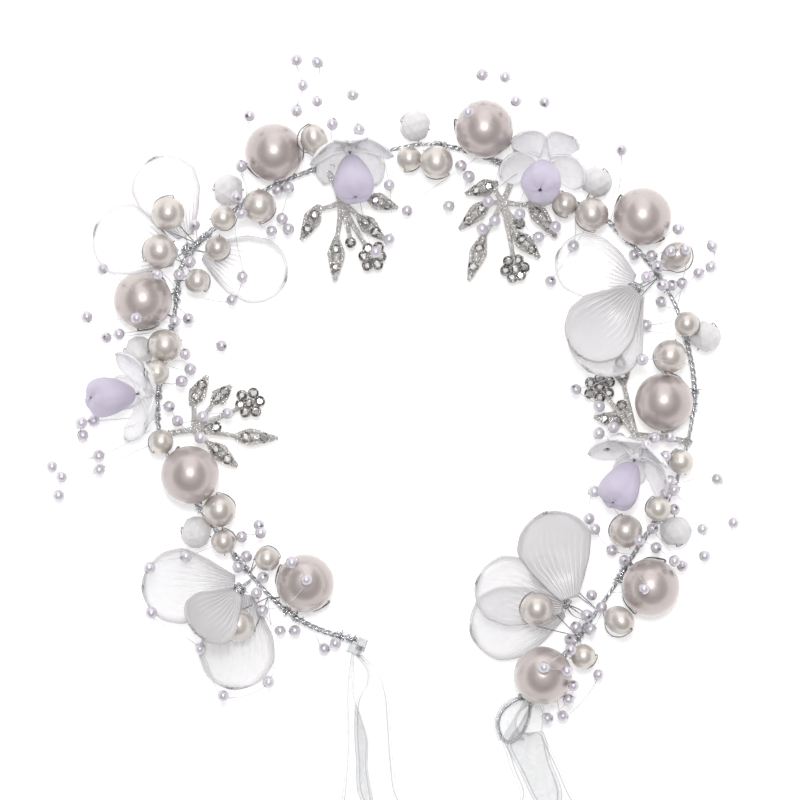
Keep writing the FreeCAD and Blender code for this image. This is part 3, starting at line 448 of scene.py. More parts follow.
class Look:
    """A material built round one Principled shader."""

    def __init__(self, name, **values):
        self.material = bpy.data.materials.new(name)
        self.material.use_nodes = True
        self.tree = self.material.node_tree
        self.shader = self.tree.nodes["Principled BSDF"]
        for socket, value in values.items():
            self.shader.inputs[socket.replace("_", " ")].default_value = value

    def node(self, kind, inputs=(), **settings):
        node = self.tree.nodes.new("ShaderNode" + kind)
        for key, value in settings.items():
            setattr(node, key, value)
        for socket, value in dict(inputs).items():
            if isinstance(value, bpy.types.NodeSocket):
                self.tree.links.new(value, node.inputs[socket])
            else:
                node.inputs[socket].default_value = value
        return node

    def feed(self, socket, output):
        self.tree.links.new(output, self.shader.inputs[socket])

    def mark(self, name):
        return self.node("Attribute", attribute_name=name).outputs["Fac"]

    def noise(self, scale, detail=3.0, rough=0.5):
        """Noise with features about 1 / scale metres wide."""
        spot = self.node("TexCoord").outputs["Object"]
        return self.node("TexNoise", {
            "Vector": spot, "Scale": scale, "Detail": detail, "Roughness": rough}).outputs["Fac"]

    def math(self, kind, first, second=0.5, third=0.5):
        return self.node("Math", {0: first, 1: second, 2: third}, operation=kind).outputs[0]

    def spread(self, value, low, high, to_low=0.0, to_high=1.0):
        return self.node("MapRange", {
            "Value": value, "From Min": low, "From Max": high,
            "To Min": to_low, "To Max": to_high}, interpolation_type="SMOOTHSTEP").outputs[0]

    def ramp(self, value, *stops):
        """Colours at places along a value; the first and last stand at its ends."""
        node = self.node("ValToRGB", {"Fac": value})
        elements = node.color_ramp.elements
        while len(elements) < len(stops):
            elements.new(0.5)
        for element, (spot, colour) in zip(elements, stops):
            element.position = spot
            element.color = (*colour, 1)
        return node.outputs["Color"]

    def mix(self, value, first, second):
        node = self.node("Mix", data_type="RGBA")
        for index, item in ((0, value), (6, first), (7, second)):
            if isinstance(item, bpy.types.NodeSocket):
                self.tree.links.new(item, node.inputs[index])
            elif index:
                node.inputs[index].default_value = (*item, 1)
            else:
                node.inputs[index].default_value = item
        return node.outputs[2]

    def bump(self, height, distance, strength=1.0):
        node = self.node("Bump", {"Height": height, "Distance": distance, "Strength": strength})
        self.feed("Normal", node.outputs[0])
        return self


def pearl_look(name, dark, light, lustre, mottle, drilled=(0.62, 0.47, 0.18)):
    """Pearl coating: a soft metallic body under a clear glaze, and raw where it is drilled."""
    look = Look(name, Metallic=lustre, Roughness=0.34, Coat_Weight=0.8, Coat_Roughness=0.05,
                Specular_IOR_Level=0.5)
    body = look.ramp(look.noise(mottle, 2, 0.5), (0.3, dark), (0.7, light))
    tint = look.ramp(look.mark("tone"), (0, (0.93, 0.91, 0.91)), (1, (1, 1, 0.98)))
    toned = look.node("Mix", data_type="RGBA", blend_type="MULTIPLY")
    toned.inputs[0].default_value = 1.0
    look.tree.links.new(body, toned.inputs[6])
    look.tree.links.new(tint, toned.inputs[7])
    look.feed("Base Color", look.mix(look.mark("mark"), toned.outputs[2], drilled))
    look.feed("Roughness", look.spread(look.noise(900, 2), 0.3, 0.7, 0.31, 0.37))
    return look.bump(look.noise(1500, 2), 0.00001, 0.3).material


def metal_look(name, dark, light, rough, grain, depth):
    look = Look(name, Metallic=1.0, Roughness=rough)
    tone = look.noise(grain, 5, 0.65)
    # Where a piece is marked its colour goes to a quarter of its dark tone: painted shade, used in the
    # grooves of the cast leaves and inside the stone cups.
    shade = look.mix(look.mark("mark"), look.ramp(tone, (0.32, dark), (0.68, light)),
                     tuple(value * 0.25 for value in dark))
    look.feed("Base Color", shade)
    look.feed("Roughness", look.spread(tone, 0.3, 0.7, rough + 0.14, rough - 0.08))
    return look.bump(look.noise(grain * 1.7, 4, 0.7), depth).material


def petal_look(name, thin, thick, clear, solid, shadow):
    """Ribbed film: clear in the middle, denser at its base, along its ribs and at its rim, with painted
    shadow in its colour at its base and rim.
    """
    look = Look(name, Roughness=0.34, Specular_IOR_Level=0.45, Coat_Weight=0.25, Coat_Roughness=0.2)
    across, along, rim = look.mark("across"), look.mark("along"), look.mark("mark")
    drift = look.math("MULTIPLY_ADD", look.noise(70, 1), 0.16, across)
    wave = look.math("SINE", look.math("MULTIPLY", drift, 34.0))
    rib = look.math("MULTIPLY_ADD", look.noise(300, 2), 0.5, wave)
    reach = look.spread(look.math("MULTIPLY_ADD", look.noise(240, 2), 0.5, along), 0.35, 0.98, 1, 0)
    rib = look.math("MULTIPLY", look.spread(rib, 0.35, 1.15), reach)
    base = look.spread(along, 0.0, 0.42, 1, 0)
    # Painted shadow: the colour goes to the shadow tone towards the foot and along the rim.
    body = look.mix(base, thin, shadow)
    body = look.mix(look.math("MULTIPLY", rib, 0.8), body, thick)
    body = look.mix(look.math("MULTIPLY", rim, 0.85), body, shadow)
    look.feed("Base Color", body)
    density = look.math("MULTIPLY_ADD", rib, (solid - clear) * 0.75, clear)
    density = look.math("MULTIPLY_ADD", base, (solid - clear) * 0.6, density)
    density = look.math("MULTIPLY_ADD", rim, 0.5, density)
    look.feed("Alpha", look.math("MINIMUM", density, 0.97))
    return look.bump(rib, 0.0002, 0.8).material


def frosted_look(name, dark, light, rough, scale=420, alpha=1.0, soft=0.0):
    """Moulded resin with a matt skin, mottled as it lets light in unevenly."""
    look = Look(name, Roughness=rough, Specular_IOR_Level=0.4, Alpha=alpha,
                Subsurface_Weight=soft, Subsurface_Scale=0.0006, Subsurface_Radius=(1, 1, 1))
    tone = look.math("MULTIPLY_ADD", look.mark("tone"), 0.25, look.noise(scale, 4, 0.6))
    # Where a piece is marked (sepal rims, the flower's hub, the bell's tip) its colour goes a little
    # below its dark tone: painted shade.
    look.feed("Base Color", look.mix(look.mark("mark"), look.ramp(tone, (0.35, dark), (0.85, light)),
                                     tuple(value * 0.96 for value in dark)))
    look.feed("Roughness", look.spread(look.noise(scale * 2, 2), 0.3, 0.7, rough - 0.08, rough + 0.08))
    return look.bump(look.noise(scale * 5, 3), 0.00005, 0.5).material


def stone_look():
    """Smoky cut glass: every facet throws back a different amount of light, painted into its colour as a
    reflection from dark to white.
    """
    look = Look("rhinestone_glass", Metallic=0.75, Roughness=0.08, Coat_Weight=1.0, Coat_Roughness=0.02)
    tone = look.math("MULTIPLY_ADD", look.noise(900, 2), 0.3, look.mark("tone"))
    look.feed("Base Color", look.ramp(
        tone, (0.15, (0.10, 0.095, 0.09)), (0.5, (0.36, 0.34, 0.33)),
        (0.8, (0.74, 0.72, 0.70)), (1.0, (1.0, 1.0, 1.0))))
    look.feed("Roughness", look.spread(look.noise(2500, 2), 0.35, 0.75, 0.04, 0.16))
    return look.material


def organza_look():
    """Sheer plain weave with a denser selvedge thread near each edge."""
    look = Look("organza_weave", Roughness=0.42, Specular_IOR_Level=0.5, Sheen_Weight=0.3)
    across, along = look.mark("across"), look.mark("along")
    warp = look.math("SINE", look.math("MULTIPLY", across, 24.0))
    weft = look.math("SINE", look.math("MULTIPLY", along, 24.0))
    weave = look.math("MULTIPLY_ADD", weft, 0.5, look.math("MULTIPLY", warp, 0.5))
    slub = look.noise(700, 4, 0.7)
    side = look.math("ABSOLUTE", across)
    thread = look.math("SUBTRACT", 1.0, look.spread(
        look.math("ABSOLUTE", look.math("SUBTRACT", side, 4.1)), 0.08, 0.28))
    edge = look.spread(side, 4.72, 4.95)
    line = look.math("MAXIMUM", thread, edge)
    density = look.math("MULTIPLY_ADD", weave, 0.05, look.spread(slub, 0.2, 0.8, 0.13, 0.19))
    density = look.math("MULTIPLY_ADD", line, 0.22, density)
    look.feed("Alpha", look.math("MULTIPLY", density, 0.9))
    look.feed("Base Color", look.mix(line, (0.76, 0.765, 0.78), (0.46, 0.46, 0.49)))
    return look.bump(weave, 0.00003, 0.4).material


def floor_look():
    look = Look("pale_floor", Roughness=0.9, Specular_IOR_Level=0.1)
    drift = look.noise(30, 2)
    look.feed("Base Color", look.ramp(drift, (0.4, (0.93, 0.93, 0.93)), (0.6, (0.95, 0.95, 0.95))))
    look.feed("Emission Strength", look.spread(drift, 0.3, 0.7, 0.3, 0.32))
    look.feed("Emission Color", look.ramp(drift, (0.4, (1, 1, 1)), (0.6, (1, 1, 0.99))))
    return look.material


# ---------------------------------------------------------------- beads


def ball(shell, centre, radius, axis, bore, sides, rings, stretch=1.0, tone=0.5):
    """A drilled round or oval bead whose bore runs along an axis, with worn bore edges."""
    start = math.asin(bore / radius) * 1.35
    angles = np.linspace(math.pi - start, start, rings)
    outside = np.stack([radius * np.sin(angles), radius * stretch * np.cos(angles)], 1)
    lip_end = outside[-1, 1] - bore * 0.25
    lip = np.array([(bore, lip_end), (bore, 0.0), (bore, -lip_end)])
    profile = np.concatenate([outside, lip, outside[:1]])
    points, faces = lathe(profile, sides)
    worn = np.zeros(len(profile))
    worn[[0, rings - 1, -1]] = 0.8
    worn[rings:-1] = 1.0
    worn[[1, rings - 2]] = 0.25
    shell.add(place(points, facing(axis), centre), faces, tone=tone, mark=np.repeat(worn, sides))


def faceted(shell, centre, axis, turn, tone):
    """A cut bead: rows of flats that step round it, ground matt."""
    rows = [(1.0, -3.3), (2.3, -3.15), (3.55, -1.75), (4.0, 0.0), (3.55, 1.75), (2.3, 3.15),
            (1.0, 3.3)]
    corners = 9
    points = []
    for number, (radius, height) in enumerate(rows):
        angles = (np.arange(corners) + 0.5 * (number % 2)) * TAU / corners + turn
        points.append(np.stack([radius * np.cos(angles), radius * np.sin(angles),
                                np.full(corners, height)], 1))
    faces = []
    for row in range(len(rows) - 1):
        for col in range(corners):
            a, b = row * corners + col, row * corners + (col + 1) % corners
            shift = 0 if row % 2 == 0 else 1
            c = (row + 1) * corners + (col + shift) % corners
            d = (row + 1) * corners + (col + shift - 1) % corners
            faces += [(a, b, c), (a, c, d)]
    points = np.concatenate(points)
    bore = 0.5
    ring, tube = lathe([(bore, 3.3), (bore, -3.3)], corners)
    start = len(points)
    points = np.concatenate([points, ring])
    faces += [tuple(corner + start for corner in face) for face in tube]
    end = (len(rows) - 1) * corners
    for col in range(corners):
        after = (col + 1) % corners
        faces.append((end + col, end + after, start + after, start + col))
        faces.append((after, col, start + corners + col, start + corners + after))
    shell.add(place(points, facing(axis), centre), faces, tone=tone)


def hug(shell, start, goal, centre, reach, radius, side):
    """A wire that leaves a bore, lies round the bead and ends on the band."""
    first = unit(start - centre)
    last = unit(goal - centre)
    swing = unit(np.cross(first, np.cross(side, first)))
    points = [start, start + first * 0.35]
    for angle in (35, 70, 105, 135):
        turn = math.radians(angle)
        lean = angle / 135
        spot = unit(first * math.cos(turn) + swing * math.sin(turn) + last * lean * 0.5)
        points.append(centre + spot * reach)
        if spot @ last > 0.9:
            break
    points.append(goal)
    line = through(points, 0.5)
    line = np.maximum(line, [-1e3, -1e3, radius + 0.1])
    shell.add(*sweep(line, radius, 6))


def beads(side, looks):
    """The pearls and frosted beads of one side, and the wires that hold them."""
    body = "crown_" + side
    rods = [rod_ends(points) for points in islands("bead_stems_" + side)]
    wires = Shell()
    sizes = {
        "cream_pearls": (4.0, 1.0, 34, 22), "small_pearls": (3.0, 1.0, 30, 20),
        "rice_pearls": (3.25, 4.0 / 3.25, 34, 24), "frosted_beads": (4.0, 0.85, 0, 0),
    }
    for kind, (radius, stretch, sides, rings) in sizes.items():
        shell, node = Shell(), "%s_%s" % (kind, side)
        for points in islands(node):
            centre = middle(points)
            foot, tip = min(rods, key=lambda ends: abs(
                np.linalg.norm(ends[0] - centre) + np.linalg.norm(ends[1] - centre)
                - np.linalg.norm(ends[0] - ends[1])))
            stem = unit(tip - foot)
            level = unit([stem[0], stem[1], 0.0])
            way = random.choice((-1, 1))
            axis = unit(stem * [1, 1, 0.35])
            if kind != "rice_pearls" and stem[2] > 0.5:
                lean = random.uniform(0.5, 1.1)
                axis = level * math.cos(lean) + np.cross(UP, level) * way * math.sin(lean) + UP * 0.15
                axis = unit(axis)
            tone = random.uniform(0, 1)
            if sides:
                ball(shell, centre, radius, axis, BEAD_BORE, sides, rings, stretch, tone)
            else:
                faceted(shell, centre, axis, random.uniform(0, 1), tone)
            half = radius * stretch
            wires.add(*sweep([centre - axis * half, centre, centre + axis * (half + 0.25)], 0.15, 6))
            out = unit(np.cross(axis, UP)) * way
            hug(wires, centre + axis * half, foot, centre, half + HUG_GAP, 0.14, out)
            hug(wires, centre - axis * half, foot, centre, half + HUG_GAP, 0.14, -UP)
        shell.piece(node + "_beads", *looks[kind], body, [node], smooth=kind != "frosted_beads")
    wires.piece("bead_wires_" + side, looks["stem"], "silver_wire", body, ["bead_stems_" + side])


def big_pearls(side, looks, line):
    """The large pearls, each a piece of its own, and their wires, which stay with the band."""
    wires = Shell()
    for name in [name for name in NODES if name.startswith("pearl_") and name.endswith(side)]:
        if name.startswith("pearl_wires"):
            continue
        joint = JOINTS[name + "_spin"]
        centre = np.array(joint["pos_m"]) / MM
        axis = unit(joint["axis"])
        shell = Shell()
        ball(shell, centre, BIG_RADIUS, axis, BIG_BORE, 72, 48, tone=random.uniform(0.3, 1))
        shell.piece(name + "_coated", looks["pearl"], "big_pearl", name, [name])
        wires.add(*sweep([centre - axis * BIG_STUB, centre, centre + axis * BIG_STUB], 0.23, 6))
        for way in (-1, 1):
            start = centre + axis * way * BIG_RADIUS
            goal = line[nearest(line - centre, axis * way * 3)]
            out = unit(np.cross(np.cross(axis, goal - centre), axis))
            hug(wires, start, goal, centre, BIG_HUG, 0.22, out)
    wires.piece("pearl_stems_" + side, looks["stem"], "silver_wire", "crown_" + side,
                ["pearl_wires_" + side])


def nylon(side, looks):
    """Clear line in springy loops, with a small pearl at most stops and a half turn round each."""
    lines, seeds = Shell(), Shell()
    for loop in NYLON_LOOPS[side]:
        path = through(loop, 0.7)
        lines.add(*sweep(path, LINE_RADIUS, 6), tone=random.uniform(0, 1))
        for point in loop[1:-1]:
            if len(point) == 4:
                continue
            centre = np.array(point, float)
            spot = nearest(path, centre)
            axis = unit(path[min(spot + 1, len(path) - 1)] - path[max(spot - 1, 0)])
            ball(seeds, centre, SEED_RADIUS * random.uniform(0.95, 1.04), axis, BEAD_BORE, 20, 14,
                 tone=random.uniform(0, 1))
            turn = np.linspace(0, math.pi, 12)
            side_way = facing(axis, random.uniform(0, TAU))[:, 0]
            ring = centre + SEED_HUG * (np.cos(turn)[:, None] * axis + np.sin(turn)[:, None] * side_way)
            lines.add(*sweep(ring, 0.08, 5), tone=random.uniform(0, 1))
            tip = centre + axis * 1.5
            tail = [tip, tip + axis * 0.3 + side_way * 0.25, tip + axis * 0.45 + side_way * 0.6]
            wire(lines, tail, 0.09, 5, 0.2, tone=1.0)
    lines.piece("clear_line_" + side, looks["nylon"], "nylon", "crown_" + side, ["nylon_lines_" + side])
    seeds.piece("seed_pearls_" + side, looks["seed"], "seed_pearl", "crown_" + side,
                ["seed_beads_" + side])


# ---------------------------------------------------------------- wire


def band_line():
    """The centre line of the whole band, from the left ribbon round the front to the eyelet."""
    left = [(x, y, BAND_HEIGHT) for x, y in BAND["left"]]
    right = [(x, y, BAND_HEIGHT) for x, y in BAND["right"]]
    return near(left[::-1] + right[1:], BAND_STEP)


def twisted(line, shells, cuts):
    """Three strands twisted along a line, each cut into the shells at the same places."""
    across = np.cross(directions(line), UP)
    count = len(line)
    reach = 0.36 + 0.12 * np.sin(np.linspace(0, 61, count)) + np.abs(wander(count, 0.06))
    angle = np.linspace(0, TAU * count * BAND_STEP / TWIST_PITCH, count) + wander(count, 0.8)
    for strand in range(3):
        turn = angle + strand * TAU / 3
        path = line + reach[:, None] * (np.cos(turn)[:, None] * across + np.sin(turn)[:, None] * UP)
        for shell, (first, last) in zip(shells, cuts):
            shell.add(*sweep(path[first:last + 1], STRAND_RADIUS, 7))


def coil(shell, line, spot, length, turns, radius, thick=0.15):
    """Binding wire wound over the band, tight in places and loose in others."""
    half = int(length / BAND_STEP / 2)
    piece = line[max(spot - half, 0):spot + half + 1]
    steps = turns * 11
    at = np.linspace(0, len(piece) - 1.001, steps)
    at = np.clip(at + wander(steps, 0.12 * len(piece)), 0, len(piece) - 1.001)
    whole = at.astype(int)
    ahead = piece[np.minimum(whole + 1, len(piece) - 1)] - piece[whole]
    spine = piece[whole] + ahead * (at - whole)[:, None]
    tangent = unit(piece[-1] - piece[0])
    across = np.cross(tangent, UP)
    turn = np.linspace(0, TAU * turns, steps)
    reach = radius + np.abs(wander(steps, 0.14))
    path = spine + reach[:, None] * (np.cos(turn)[:, None] * across + np.sin(turn)[:, None] * UP)
    path[:, 2] = np.maximum(path[:, 2], thick + 0.1)
    shell.add(*sweep(path, thick, 5))


def knot(shell, centre, size, loops=3, thick=0.16):
    """A knot of wire: a few crossing loops bound at random, with a cut end."""
    for _ in range(loops):
        matrix = facing(random.normal(size=3), random.uniform(0, TAU))
        turn = np.linspace(0, TAU * 2.2, 34)
        reach = size * (0.75 + np.abs(wander(34, 0.25)))
        points = np.stack([reach * np.cos(turn), reach * np.sin(turn) * 0.7, wander(34, size * 0.3)], 1)
        points = place(points, matrix, centre)
        points[:, 2] = np.maximum(points[:, 2], thick + 0.1)
        shell.add(*sweep(points, thick, 5))
    tip = centre + unit(random.normal(size=3) + [0, 0, 0.6]) * size * 1.9
    tip[2] = max(tip[2], 0.5)
    wire(shell, [centre, (centre + tip) / 2 + [0.2, 0.1, 0.2], tip], thick * 0.8, 5)


def band(looks):
    """The twisted band in three pieces: its middle one spans the flex point and is attached to no body.
    """
    line = band_line()
    joint = JOINTS["band_flex"]
    pivot = np.array(joint["pos_m"]) / MM
    at = nearest(line, pivot)
    reach, clear = 15, 12
    left, bend, right = Shell(), Shell(), Shell()
    cuts = [(0, at - reach), (at - reach, at + reach), (at + reach, len(line) - 1)]
    twisted(line, (left, bend, right), cuts)
    bindings = two_shells()
    for side, shell in bindings.items():
        for points in islands("binding_wire_" + side):
            spot = nearest(line, middle(points))
            if abs(spot - at) < reach + clear:
                continue
            coil(shell, line, spot, random.uniform(4, 7.5), int(random.integers(7, 13)), 0.86)
            for _ in range(2):
                near_spot = line[np.clip(spot + int(random.integers(-7, 8)), 0, len(line) - 1)]
                knot(shell, near_spot + [0, 0, 0.7], 1.0, 1)
        petals = [name for name in NODES if "_petal_" in name and body_of(name) == "crown_" + side]
        for cluster in sorted({name.rsplit("_petal_", 1)[0] for name in petals}):
            feet = [petal_frame(name)[0] for name in petals if name.startswith(cluster)]
            hub = np.mean(feet, axis=0)
            knot(shell, hub - UP, 1.7, 5, 0.18)
            spot = line[nearest(line, hub)]
            for bulge in (-1.2, 0.9, 0.1):
                bow = (hub + spot) / 2 + [bulge, bulge * 0.5, 0.6]
                wire(shell, [hub - UP, bow, spot], 0.2, 6)
            for foot in feet:
                wire(shell, [hub - UP, (hub + foot) / 2, foot], 0.2, 6)
    for side, shell in (("left", left), ("right", right)):
        shell.piece("twisted_band_" + side, looks["silver"], "silver_wire", "crown_" + side,
                    ["band_wire_" + side])
        bindings[side].piece("binding_" + side, looks["silver"], "silver_wire", "crown_" + side,
                             ["binding_wire_" + side])
    piece = bend.piece("twisted_band_flex", looks["silver"], "silver_wire")
    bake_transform(piece)
    return line


def eyelet(looks):
    """A loop of wire wrapped with finer wire from end to end."""
    line = near([(x, y, BAND_HEIGHT) for x, y in EYELET], 0.25)
    shell = Shell()
    shell.add(*sweep(line, 0.38, 8))
    across = np.cross(directions(line), UP)
    fine_step, pitch = 0.06, 0.42
    fine = even(line, fine_step)
    ratio = np.linspace(0, len(line) - 1.001, len(fine))
    side = across[ratio.astype(int)]
    turn = np.linspace(0, TAU * len(fine) * fine_step / pitch, len(fine))
    path = fine + 0.42 * (np.cos(turn)[:, None] * side + np.sin(turn)[:, None] * UP)
    shell.add(*sweep(path, 0.13, 5))
    knot(shell, line[0], 1.0, 3)
    shell.piece("wrapped_eyelet", looks["silver"], "silver_wire", body_of("ribbon_eyelet"),
                ["ribbon_eyelet"])


# ---------------------------------------------------------------- petals and flowers

# How far along a petal its sides stop spreading and begin to round over.
LOBE = 0.62


def petal_frame(node):
    """Foot, tip direction, side direction, length and width of a large petal."""
    points = islands(node)[0]
    axis = main_axes(points)
    along = (points - points.mean(0)) @ axis[0]
    across = (points - points.mean(0)) @ axis[1]
    low, high = along < along.min() + 2.5, along > along.max() - 2.5
    if np.ptp(across[low]) > np.ptp(across[high]):
        along, low, axis[0] = -along, high, -axis[0]
    foot = points[along < along.min() + 0.6].mean(0)
    tip = points[along > along.max() - 0.3].mean(0)
    x = unit(tip - foot)
    y = unit(axis[1] - x * axis[1].dot(x))
    if np.cross(x, y)[2] < 0:
        y = -y
    return foot, x, y, np.linalg.norm(tip - foot), np.ptp(across)


def blade(shell, foot, x, y, length, width, bowl, ribs, depth, wall, seed, rim_width, tone=0.5,
          curl=0.0, neck=0.24):
    """A ribbed, bowl-shaped petal as a closed sheet, its rim rolled and slightly uneven."""
    z = np.cross(x, y)
    v = np.sin(np.linspace(0, math.pi / 2, 62))
    u = np.linspace(-1, 1, 45)
    rise = np.clip(v / LOBE, 0, 1)
    fall = np.clip((v - LOBE) / (1 - LOBE), 0, 1)
    half = (neck + (1 - neck) * np.sin(rise * math.pi / 2)) * np.sqrt(np.maximum(1 - fall ** 2, 0.0004))
    half *= width / 2
    draw = np.random.default_rng(seed)
    wave = 1 + 0.02 * np.sin(v * 9 + draw.uniform(0, TAU)) + 0.012 * np.sin(v * 23 + draw.uniform(0, TAU))
    px = v[:, None] * length + 0 * u[None, :]
    py = (half * wave)[:, None] * u[None, :]
    tip_back = 0.03 * length * (u[None, :] ** 2) * (fall * half / (width / 2))[:, None]
    px = px - tip_back
    sag = np.sqrt(np.maximum(bowl ** 2 - (px - length / 2) ** 2 - py ** 2, 1.0))
    pz = math.sqrt(max(bowl ** 2 - (length / 2) ** 2, 0)) - sag
    fade = np.clip(1.25 - v, 0, 1)[:, None] * np.clip(v * 6, 0, 1)[:, None]
    drift = u[None, :] + 0.05 * np.sin(v[:, None] * 7 + draw.uniform(0, TAU))
    groove = 1 - np.abs(np.sin(drift * ribs * math.pi / 2 + draw.uniform(0, 1))) ** 0.6
    pz = pz - depth * groove * fade
    pz = pz + 0.12 * np.sin(v[:, None] * 5 + u[None, :] * 3 + draw.uniform(0, TAU))
    pz = pz - curl * np.clip(v[:, None] - 0.55, 0, 1) ** 2 * length
    points = foot + px[..., None] * x + py[..., None] * y + pz[..., None] * z
    reach = np.maximum(half[:, None] * (1 - np.abs(u)[None, :]), 0)
    gap = np.minimum(reach, (1 - v)[:, None] * length)
    rim = np.clip(1 - gap / rim_width, 0, 1) ** 1.3
    thick = wall * (1 + 1.5 * rim)
    shape, faces = slab(points, thick)
    shell.add(shape, faces, tone=tone, mark=twice(rim),
              across=twice(0 * px + drift), along=twice(v[:, None] + 0 * px))


def large_petals(looks):
    styles = {
        "front_left_petal_1": "clear", "front_left_petal_2": "clear", "front_left_petal_3": "clear",
        "front_right_petal_1": "clear", "front_right_petal_2": "milky", "front_right_petal_3": "film",
        # One petal gets a darker copy of the film, its extra darkness painted shade.
        "back_left_petal_1": "grey", "back_left_petal_2": "film", "back_left_petal_3": "film",
        "back_right_petal_1": "milky", "back_right_petal_2": "film", "back_right_petal_3": "film",
    }
    for number, (node, style) in enumerate(sorted(styles.items())):
        foot, x, y, length, width = petal_frame(node)
        shell = Shell()
        blade(shell, foot, x, y, length, width, 17.0, 13, 0.12, 0.26, number + 5, 1.9)
        shell.piece(node + "_ribbed", looks["petal_" + style], "clear_petal", body_of(node), [node])


def bell_frame(points):
    """The middle of a bell's narrow end, and the direction it opens in."""
    axes = main_axes(points)
    centred = points - points.mean(0)
    spreads = [np.ptp(centred @ axis) for axis in axes]
    order = [abs(spreads[(i + 1) % 3] - spreads[(i + 2) % 3]) for i in range(3)]
    axis = axes[int(np.argmin(order))]
    along = centred @ axis
    low = centred[along < along.min() + 1.5]
    high = centred[along > along.max() - 1.5]
    wide_low = np.linalg.norm(low - np.outer(low @ axis, axis), axis=1).max()
    wide_high = np.linalg.norm(high - np.outer(high @ axis, axis), axis=1).max()
    if wide_low > wide_high:
        axis, along = -axis, -along
    return points.mean(0) + axis * along.min(), axis


def flower(name, looks):
    """Five cupped petals and a bell that closes to a small hole at its tip."""
    base, axis = bell_frame(islands("flower_bell_" + name)[0])
    cap_points = islands("flower_cap_" + name)[0]
    hub = base - axis * 2.4
    matrix = facing(axis)
    local = (cap_points - hub) @ matrix
    reach = np.hypot(local[:, 0], local[:, 1])
    angle = np.arctan2(local[:, 1], local[:, 0])
    far = reach > reach.max() - 0.8
    turn = np.angle(np.exp(5j * angle[far]).mean()) / 5
    cap = Shell()
    for number in range(5):
        heading = turn + number * TAU / 5
        out = matrix @ [math.cos(heading), math.sin(heading), 0]
        side = matrix @ [-math.sin(heading), math.cos(heading), 0]
        tilt = math.radians(22 + random.uniform(-7, 7))
        x = unit(out * math.cos(tilt) + axis * math.sin(tilt))
        blade(cap, hub + out * 0.6, x, side, 11.0 * random.uniform(0.94, 1.04), 8.0, 7.6, 3, 0.1, 0.28,
              int(random.integers(999)), 0.6, tone=random.uniform(0, 1), curl=-0.1, neck=0.4)
    profile = [(0.45, -1.4), (1.2, -1.2), (1.55, -0.4), (1.5, 0.5), (0.9, 1.1), (0.45, 1.2)]
    points, faces = lathe(profile + profile[:1], 24)
    cap.add(place(points, matrix, hub), faces, tone=0.4, mark=0.3)
    cap.piece("petal_cap_" + name, looks["cap"], "white_flower", body_of("flower_cap_" + name),
              ["flower_cap_" + name])
    outer = through([(0.5, 0.0, 0), (1.3, 0.1, 0), (2.4, 1.3, 0), (3.7, 3.9, 0), (4.6, 6.8, 0),
                     (4.75, 8.8, 0), (4.2, 10.6, 0), (2.6, 11.7, 0), (0.45, 11.8, 0)], 0.3)[:, :2]
    inner = through([(0.45, 11.3, 0), (2.4, 11.1, 0), (3.9, 9.8, 0), (4.2, 8.4, 0), (3.9, 6.4, 0),
                     (2.8, 3.6, 0), (1.2, 1.6, 0), (0.5, 1.2, 0)], 0.45)[:, :2]
    profile = np.concatenate([outer, inner, outer[:1]])
    sides = 60
    points, faces = lathe(profile, sides)
    turn_at = np.arctan2(points[:, 1], points[:, 0])
    rise = np.clip(points[:, 2] / 12, 0, 1)
    phase = random.uniform(0, TAU)
    seam = np.exp(-(np.sin((turn_at + phase) * 2.5) / 0.22) ** 2)
    swell = 1 + rise * (0.03 * np.cos(5 * turn_at + phase) + 0.02 * np.cos(2 * turn_at)) - 0.035 * seam
    points[:, :2] *= swell[:, None]
    points[:, 2] += rise ** 6 * (0.2 * np.cos(5 * turn_at + phase) + 0.12 * np.sin(3 * turn_at))
    bell = Shell()
    bell.add(place(points, matrix, base), faces, tone=0.5, along=rise,
             mark=np.clip((points[:, 2] - 11.7) * 0.5, 0, 0.35))
    bell.piece("soft_bell_" + name, looks["bell"], "lilac_bell", body_of("flower_bell_" + name),
               ["flower_bell_" + name])
    return hub, axis


def flowers(looks, line):
    pins, seeds = two_shells(), two_shells()
    for name in ("front_left", "front_right", "side_left", "side_right"):
        hub, axis = flower(name, looks)
        side = name.rsplit("_", 1)[1]
        spot = line[nearest(line, hub)]
        wire(pins[side], [spot, hub - axis * 1.5, hub, hub + axis * 9.0], 0.24, 7, 0.6)
        knot(pins[side], hub - axis * 1.8, 1.0, 3)
        wire(pins[side], [hub + axis * 8.6, hub + axis * 9.2 + UP * 0.4, hub + axis * 8.7 + UP * 0.9],
             0.2, 6, 0.2)
        ball(seeds[side], hub + axis * 5.6, SEED_RADIUS, axis, BEAD_BORE, 20, 14, tone=0.7)
    for side in pins:
        pins[side].piece("head_pins_" + side, looks["pin"], "pin_wire", "crown_" + side,
                         ["flower_pins_" + side])
        seeds[side].piece("pin_beads_" + side, looks["seed"], "seed_pearl", "crown_" + side)


# ---------------------------------------------------------------- sprays


STALK_RADIUS = 0.78
CUP_SIDES = 20


